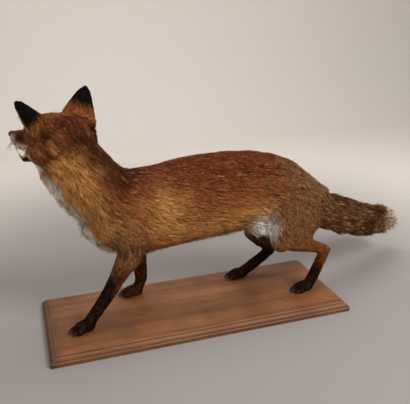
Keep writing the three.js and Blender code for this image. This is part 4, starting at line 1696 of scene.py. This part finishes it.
@dataclass(frozen=True)
class Nose:
    """The nose leather, with its two comma-shaped nostrils and the groove between them.

    nostril, wing and swell are the places, on a ball of radius one, of a nostril, of its slit's end and of
    the fold over it.
    """

    half: tuple = (6.4, 9.4, 8.0)
    nostril: tuple = (-0.80, 0.47, 0.02)
    wing: tuple = (-0.48, 0.88, -0.16)
    swell: tuple = (-0.72, 0.62, 0.36)
    rings: int = 56
    around: int = 72

    def build(self) -> Piece:
        """Makes the nose."""
        polar = np.linspace(math.pi * 0.99, 0.01, self.rings)
        shape = skinned(globe((-1, 0, 0), (0, 0, 1), polar, self.around))
        u = shape.points.copy()
        depth = 0.9 * np.exp(-(u[:, 1] / 0.07) ** 2) * ramp(u[:, 0], -0.3, -0.7) * ramp(u[:, 2], 0.45, -0.1)
        for side in Side:
            hole, wing = self.nostril * side.flip, self.wing * side.flip
            depth += 3.6 * np.exp(-(length(u - hole) / 0.20) ** 2)
            share = np.clip((u - hole) @ (wing - hole) / ((wing - hole) @ (wing - hole)), 0, 1)[:, None]
            off = length(u - hole - share * (wing - hole))
            depth += 1.5 * np.exp(-(off / 0.085) ** 2)
            swell = self.swell * side.flip
            depth -= 0.8 * np.exp(-(length(u - swell) / 0.3) ** 2)
        narrow = 1 - 0.30 * ramp(u[:, 2], 0.1, -1.0)
        points = u * self.half * np.stack([0 * narrow + 1, narrow, 0 * narrow + 1], 1)
        shape.points = HEAD.to_fox(NOSE_AT + points - u * depth[:, None])
        return settle(mesh_object("nose_leather", shape, Leather().make()), "nose_leather", "nose")


@dataclass(frozen=True)
class Mouth:
    """The teeth and the tongue. Upper teeth are in the head's frame, lower ones in the shut jaw's frame.

    A tooth is its root, its tip, and half its length and thickness at the gum: two incisors, the canine and
    the cheek teeth of one side, from the front.
    """

    upper: tuple = (
        ((-122, 2.0, -27), (-122.8, 2.0, -33.2), 1.1, 1.2),
        ((-121, 5.6, -27), (-121.8, 5.8, -33.4), 1.3, 1.3),
        ((-108, 10, -27), (-104.5, 11.2, -46), 3.0, 2.3),
        ((-99, 12.4, -29), (-98.4, 12.8, -36.5), 2.4, 1.3),
        ((-91.5, 13.4, -31), (-91, 13.8, -40.5), 3.6, 1.6),
        ((-82, 14.6, -32), (-81.5, 15, -41.5), 4.2, 1.8),
        ((-71, 15.8, -32), (-71.5, 16.2, -43), 5.4, 2.4))
    lower: tuple = (
        ((-107.5, 1.5, -38), (-109.3, 1.6, -32.4), 0.9, 1.1),
        ((-106.8, 4.2, -38), (-108.2, 4.4, -32), 1.1, 1.2),
        ((-102, 6.6, -39), (-104.6, 8.4, -23), 2.7, 2.1),
        ((-93.5, 7.8, -37), (-93.5, 8.2, -32.2), 2.2, 1.2),
        ((-86, 8.8, -37), (-86, 9.2, -30.2), 3.3, 1.5),
        ((-77, 9.9, -37), (-77, 10.3, -29.6), 3.8, 1.6),
        ((-67, 11, -37), (-67.4, 11.4, -28.6), 5.0, 2.0))
    tooth_rings: int = 9
    tooth_sides: int = 10
    tongue_line: tuple = ((-52, 0, -35.5), (-70, 0, -31.5), (-84, 0, -31.8), (-97, 0, -33.5))
    tongue_half: tuple = (8.2, 2.7)

    def tooth(self, root: Array, tip: Array, half_length: float, half_thick: float) -> Surface:
        """One tooth, curved back a little towards its tip.

        Args:
            root: its place at the gum.
            tip: its tip.
            half_length: half its size along the jaw.
            half_thick: half its size across the jaw.
        Returns:
            The surface.
        """
        bend = np.array([-0.10 * abs(tip[2] - root[2]), 0, 0])
        path = curve(root, (root + tip) / 2 + bend, tip, count=self.tooth_rings)
        t = np.linspace(0, 1, self.tooth_rings)
        taper = np.sqrt(1 - t ** 1.7 * 0.997) * (1 + 0.1 * np.sin(t * 5))
        return horn(path, half_thick * taper, half_length * taper, (-1, 0, 0), self.tooth_sides)

    def build(self) -> None:
        """Makes both rows of teeth and the tongue."""
        ivory = Ivory().make()
        for name, row, place in (("teeth_upper", self.upper, HEAD.to_fox),
                                 ("teeth_lower", self.lower, lambda p: HEAD.to_fox(HEAD.open_jaw(p)))):
            parts = [self.tooth(root * side.flip, tip * side.flip, long, thick)
                     for root, tip, long, thick in row for side in Side]
            whole = joined(parts)
            whole.points = place(whole.points)
            thing = mesh_object(name, whole, ivory)
            along = np.repeat(np.linspace(0, 1, self.tooth_rings), self.tooth_sides)
            give(thing, "along", np.tile(np.append(along, [0, 1]), len(parts)))
            settle(thing, "tooth_ivory")
        self.tongue()

    def tongue(self) -> Piece:
        """The tongue, with a groove along its middle and a rounded tip."""
        count, around = 26, 28
        t = np.linspace(0, 1, count)
        path = curve(*self.tongue_line, count=count)
        half_wide, half_deep = self.tongue_half
        end = t / 1.005
        wide = half_wide * np.sqrt(np.clip(1 - end ** 5, 0, 1)) * np.interp(t, [0, 0.5, 1], [0.9, 1, 0.86])
        deep = half_deep * np.sqrt(np.clip(1 - end ** 6, 0, 1))
        shape = horn(path, wide, deep, (0, 0, 1), around)
        y, z = shape.points[:, 1], shape.points[:, 2]
        middle = np.interp(shape.points[:, 0], path[::-1, 0], path[::-1, 2])
        shape.points[:, 2] = z - 1.3 * np.exp(-(y / 1.5) ** 2) * (z > middle) + 0.018 * y ** 2
        shape.points = HEAD.to_fox(HEAD.open_jaw(shape.points))
        thing = mesh_object("painted_tongue", shape, PaintedWax().make())
        give(thing, "along", np.append(np.repeat(t, around), [0, 1]))
        return settle(thing, "painted_tongue", "tongue")


@dataclass(frozen=True)
class Claws:
    """The sixteen claws, short and worn as on any fox that digs."""

    half_wide: float = 1.5
    half_deep: float = 2.3

    def build(self) -> Piece:
        """Makes the claws of all four paws."""
        parts, t = [], np.linspace(0, 1, 8)
        for paw in PAWS:
            for lane, x, y in paw.lanes():
                path = curve((x - 4, y, 8.8), (x - 9.6, y + 0.7 * lane, 8.6), (x - 13.4, y + 1.4 * lane, 6.0),
                             (x - 15.2, y + 2 * lane, 2.4), count=8)
                taper = np.sqrt(1 - 0.995 * t ** 2.2)
                shape = horn(path, self.half_wide * taper, self.half_deep * taper, (0, 0, 1), 8)
                parts.append(Surface(paw.to_fox(shape.points), shape.faces))
        thing = mesh_object("claws", joined(parts), Ivory("claw_horn", "2a2019", "120d0a", 0.62).make())
        give(thing, "along", np.tile(np.append(np.repeat(t, 8), [0, 1]), len(parts)))
        return settle(thing, "claw_horn")


@dataclass(frozen=True)
class Whiskers:
    """Black whiskers in three rows on each side of the muzzle, a few over each eye and on each cheek.

    A row is its first and last root beside the muzzle, in the head's frame with y counted outward.
    """

    rows: tuple = (((-112, 13, -18), (-92, 18, -16), 4), ((-114, 12, -22), (-90, 19, -21), 5),
                   ((-111, 12, -26), (-93, 19, -26), 4), ((-62, 24, 26), (-55, 26, 28), 2),
                   ((-30, 44, -18), (-30, 44, -18), 1))
    length: tuple = (34, 58)
    radius: float = 0.27
    seed: int = 77

    def build(self, tree: BVHTree) -> Piece:
        """Makes the whiskers.

        Args:
            tree: the skin, in which they are rooted.
        Returns:
            The piece.
        """
        rng = np.random.default_rng(self.seed)
        parts = []
        for side in Side:
            for first, last, count in self.rows:
                for share in np.linspace(0, 1, count):
                    at = (np.array(first) * (1 - share) + np.array(last) * share) * side.flip
                    root, out, _, _ = tree.find_nearest(HEAD.to_fox(at).tolist())
                    root, out = HEAD.to_head(np.array(root)), np.array(out) @ HEAD.matrix()
                    size = rng.uniform(*self.length) * (0.75 + 0.25 * share)
                    way = unit(out + np.array([0.75, 0.35 * side.value, -0.12]) + rng.normal(size=3) * 0.10)
                    bend = np.array([0.30, 0, -0.22 + 0.1 * rng.normal()]) * size
                    path = curve(root - out * 0.8, root + way * size * 0.5, root + way * size + bend * 0.6,
                                 count=9)
                    taper = np.linspace(1, 0.12, 9) * self.radius
                    shape = horn(path, taper, taper, (0, 0, 1), 5)
                    parts.append(Surface(HEAD.to_fox(shape.points), shape.faces))
        whisker = Leather("whisker_keratin", "0c0908", "1a1412", 4.0, 0.3)
        return settle(mesh_object("whiskers", joined(parts), whisker.make()), "dark_coat")


# ---- the board
@dataclass(frozen=True)
class StainedWood:
    """Hardwood stained a red-brown and waxed long ago: grain along X, worn arrises, grimy grooves. The
    arrises also carry a painted highlight, and the grooves and the lower moulding painted shade.

    The pores, bands and patches are in millimetres across the grain, and drawn_out is how much they are
    squeezed along it.
    """

    light: str = "9a6239"
    mid: str = "7f4d2b"
    dark: str = "4c2e1c"
    # The paler colour marks worn arrises and also paints a highlight on them; the darkest marks grimy grooves
    # and also paints shade in them and on the lower moulding.
    rubbed: str = "a87148"
    grime: str = "2c1e17"
    pore_mm: float = 1.3
    band_mm: float = 26
    patch_mm: float = 90
    drawn_out: float = 0.045
    roughness: float = 0.5

    def make(self) -> Finish:
        """The material, which reads from a stored vector how worn each point is, with a painted highlight,
        and how grimy, with painted shade.
        """
        material, tree = new_material("stained_wood")
        place = add_node(tree, "TexCoord").outputs["Object"]
        drawn = add_node(tree, "Mapping", {"Scale": (self.drawn_out, 1, 1)}, {"Vector": place}).outputs[0]
        band, pores, patch = (
            add_node(tree, "TexNoise", {"Scale": 1 / (size * MM), "Detail": detail, "Distortion": bent},
                     {"Vector": where}).outputs[0]
            for size, detail, bent, where in ((self.band_mm, 3.0, 0.7, drawn), (self.pore_mm, 2.0, 0, drawn),
                                              (self.patch_mm, 2.0, 0, place)))
        share, streak, stain = (
            add_node(tree, "MapRange", {"From Min": low, "From Max": high, "To Max": most},
                     {"Value": value}).outputs[0]
            for value, low, high, most in ((band, 0.38, 0.62, 1), (pores, 0.52, 0.70, 0.65),
                                           (patch, 0.42, 0.72, 0.5)))
        rubbed, grime, _ = stored(tree, "wear")
        colour = layered(tree, self.mid, (share, self.light), (streak, self.dark), (stain, self.dark),
                         (rubbed, self.rubbed), (grime, self.grime))
        bump = add_node(tree, "Bump", {"Strength": 0.35, "Distance": 0.25 * MM}, {"Height": pores})
        gloss = add_node(tree, "MapRange", {"To Min": self.roughness - 0.1, "To Max": self.roughness + 0.14},
                         {"Value": patch})
        return closed(material, add_node(tree, "BsdfPrincipled", {"Specular IOR Level": 0.4}, {
            "Base Color": colour, "Roughness": gloss.outputs[0], "Normal": bump.outputs[0]}))


@dataclass(frozen=True)
class Board:
    """The moulded board: a square edge, a fillet, an ovolo, a groove, and a step up to the flat top.

    profile holds, from the floor up, the inset and level of each line, how worn it is, with a painted
    highlight on the arrises, and how grimy, with painted shade along the floor, in the grooves and under the
    step.
    """

    length: float = 700
    width: float = 266
    corner: float = 5
    ovolo: float = 7
    runs: tuple = (70, 28)
    profile: tuple = (
        (8, 0, 0, 0.6), (1.8, 0, 0, 0.7), (0.9, 0.15, 0, 0.6), (0.35, 0.5, 0.1, 0.5), (0.06, 1.2, 0.1, 0.35),
        (0, 2.4, 0, 0.25), (0, 7.4, 0, 0.1), (0.1, 8.7, 0.5, 0), (0.42, 9.45, 0.9, 0), (1.0, 9.85, 0.7, 0),
        (1.9, 10, 0.2, 0.2), (3.1, 10.05, 0, 0.85), (3.5, 10.2, 0, 1))
    top: tuple = (
        (11.2, 17.2, 0.35, 0.1), (12.2, 17.2, 0, 0.7), (12.55, 17.3, 0, 1), (12.72, 17.9, 0, 0.9),
        (12.85, 18.9, 0.2, 0.35), (13.05, 19.55, 0.8, 0), (13.5, 19.9, 0.9, 0), (14.3, 20, 0.5, 0.05),
        (16, 20, 0.1, 0.12), (20, 20, 0, 0.08), (32, 20, 0, 0), (60, 20, 0, 0), (95, 20, 0, 0),
        (130, 20, 0, 0))

    def ring(self, inset: float, level: float) -> Array:
        """One line of the moulding, all round.

        Args:
            inset: how far it lies within the board's outline.
            level: its height.
        Returns:
            Its points, counter-clockwise from above.
        """
        radius = max(1.5, self.corner - 0.3 * inset)
        hx, hy = self.length / 2 - inset - radius, self.width / 2 - inset - radius
        arcs = []
        for q, (sx, sy) in enumerate(((1, 1), (-1, 1), (-1, -1), (1, -1))):
            a = np.linspace(0, math.pi / 2, 6) + q * math.pi / 2
            arcs.append(np.stack([sx * hx + radius * np.cos(a), sy * hy + radius * np.sin(a)], 1))
        line = []
        for q in range(4):
            start, stop = arcs[q][-1], arcs[(q + 1) % 4][0]
            run = np.linspace(start, stop, self.runs[q % 2] + 2)[1:-1]
            line += [arcs[q], run]
        flat = np.concatenate(line)
        return np.column_stack([flat, np.full(len(flat), level)])

    def build(self) -> Piece:
        """Makes the board."""
        rows = list(self.profile)
        for a in np.radians(np.linspace(8, 86, 8)):
            # The ovolo is lighter towards its top, worn and with a painted highlight, and darker towards its
            # foot as painted shade.
            rows.append((3.5 + self.ovolo * (1 - math.cos(a)), 10.2 + self.ovolo * math.sin(a),
                         0.55 * math.sin(a) ** 6 + 0.1, 0.5 * math.cos(a) ** 6))
        rows += self.top
        rings = np.stack([self.ring(inset, level) for inset, level, _, _ in rows])
        wear = np.array([row[2:] for row in rows])
        dents = ripple(rings.reshape(-1, 3), 22, 5).reshape(rings.shape[:2])
        chips = 0.5 * wear[:, :1] * np.clip(dents - 0.9, 0, 1)
        rings[..., :2] *= 1 - 0.004 * chips[..., None]
        rings[..., 2] -= 0.25 * chips
        shape = skinned(rings)
        x, y = shape.points[:, 0], shape.points[:, 1]
        each = rings.shape[1]
        rub_and_highlight, dirt_and_shade = (np.append(np.repeat(w, each), [0, 0]) for w in wear.T)
        rub_and_highlight = rub_and_highlight * np.clip(0.7 + 0.5 * ripple(shape.points, 60, 9), 0, 1)
        # The ends are darker, the left one most: painted shade.
        ends = np.maximum(1.3 * ramp(x, -312, -348), 0.8 * ramp(x, 335, 350))
        dirt_and_shade = np.maximum(dirt_and_shade * np.clip(0.8 + 0.3 * ripple(shape.points, 45, 10), 0, 1), 0.5 * ends)
        # Darker on the top behind the hindquarters, on the far side.
        dirt_and_shade = np.maximum(dirt_and_shade, 0.42 * ramp(x, 150, 290) * ramp(y, 40, 110))
        # All below the top's level is darker: painted shade on the moulding.
        dirt_and_shade = np.maximum(dirt_and_shade, 0.22 * ramp(shape.points[:, 2], 19, 16))
        thing = mesh_object("moulded_board", shape, StainedWood().make())
        give(thing, "wear", np.stack([rub_and_highlight, dirt_and_shade, 0 * rub_and_highlight], 1))
        return settle(thing, "stained_wood", "base_board")


# ---- camera and light
@dataclass(frozen=True)
class Studio:
    """A pale floor that curves up into a backdrop, one large soft light, and the camera."""

    camera_at: tuple = (-360.1, -1131.7, 713.8)
    azimuth: float = -18.857
    elevation: float = 20.306
    lens: float = 49.22
    floor: float = 7000

    def build(self) -> None:
        """Sets up the camera, the lights and the stage."""
        scene = bpy.context.scene
        scene.view_settings.view_transform = "Standard"
        camera = bpy.data.objects.new("camera", bpy.data.cameras.new("camera"))
        camera.data.lens, camera.data.sensor_width = self.lens, 36
        camera.data.clip_start, camera.data.clip_end = 0.02, 40
        camera.location = Vector(self.camera_at) * MM
        camera.rotation_euler = (math.radians(90 - self.elevation), 0, math.radians(self.azimuth))
        scene.collection.objects.link(camera)
        scene.camera = camera
        world = bpy.data.worlds.new("soft_room")
        world.use_nodes = True
        world.node_tree.nodes["Background"].inputs["Color"].default_value = srgb("e6e2dd")
        world.node_tree.nodes["Background"].inputs["Strength"].default_value = 0.38
        scene.world = world
        self.light("key", (1200, -1400, 1900), (0, 0, 220), 1000, 42)
        self.light("fill", (-1700, -1300, 1100), (-50, 0, 250), 1500, 11)
        self.light("top", (100, 500, 2300), (0, 0, 200), 1500, 22)
        self.backdrop()

    @staticmethod
    def light(name: str, at: tuple, aim: tuple, size: float, watts: float) -> None:
        """Adds a soft square light.

        Args:
            name: its name.
            at: its place.
            aim: the point that it faces.
            size: its side.
            watts: its power.
        """
        lamp = bpy.data.lights.new(name, "AREA")
        lamp.size, lamp.energy = size * MM, watts
        thing = bpy.data.objects.new(name, lamp)
        thing.location = Vector(at) * MM
        thing.rotation_euler = (Vector(aim) - Vector(at)).to_track_quat("-Z", "Y").to_euler()
        bpy.context.scene.collection.objects.link(thing)

    def backdrop(self) -> None:
        """The floor, with a wide curve up behind the mount, painted darker round the mount as shade."""
        turn = np.linspace(0, math.pi / 2, 16)
        bend, back = 900, 1500
        y = np.concatenate([[-self.floor], back + bend * np.sin(turn), [back + bend]])
        z = np.concatenate([[0], bend - bend * np.cos(turn), [self.floor]])
        rows = np.stack([[(x, a, b) for a, b in zip(y, z)] for x in (self.floor, -self.floor)])
        count = len(y)
        quads = np.array([(i, i + 1, count + i + 1, count + i) for i in range(count - 1)])
        material, tree = new_material("paper_backdrop")
        place = add_node(tree, "TexCoord").outputs["Object"]
        far = add_node(tree, "VectorMath", {"operation": "LENGTH"}, {0: place}).outputs["Value"]
        share = add_node(tree, "MapRange", {"interpolation_type": "SMOOTHSTEP", "From Min": 0.5,
                                            "From Max": 1.5}, {"Value": far})
        # Darker within half a metre of the origin, under the mount, fading to pale by 1.5 m: painted shade on
        # the floor.
        colour = layered(tree, "97918e", (share.outputs[0], "ebe3da"))
        closed(material, add_node(tree, "BsdfPrincipled", {"Roughness": 0.9}, {"Base Color": colour}))
        mesh_object("floor", Surface(rows.reshape(-1, 3), quads), material)


def main() -> None:
    """Builds the mount piece by piece."""
    logging.basicConfig(level=logging.INFO, format="%(name)s: %(message)s")
    Studio().build()
    hair = FoxHair()
    skin = Skin().build()
    pelt = Pelt(skin).build()
    hide = mesh_object("fox_skin", skin.surface, hair.make("tanned_hide", undercoat=True))
    pelt.dress(hide)
    settle(hide, "ginger_coat", *FLESH)
    tree = BVHTree.FromPolygons(skin.surface.points.tolist(), skin.surface.faces.tolist())
    finish = hair.make("guard_hair", undercoat=False)
    for coat in COATS:
        coat.build(pelt, tree, finish)
    Eyes().build()
    Nose().build()
    Mouth().build()
    Claws().build()
    Whiskers().build(tree)
    Board().build()


if __name__ == "__main__":
    main()
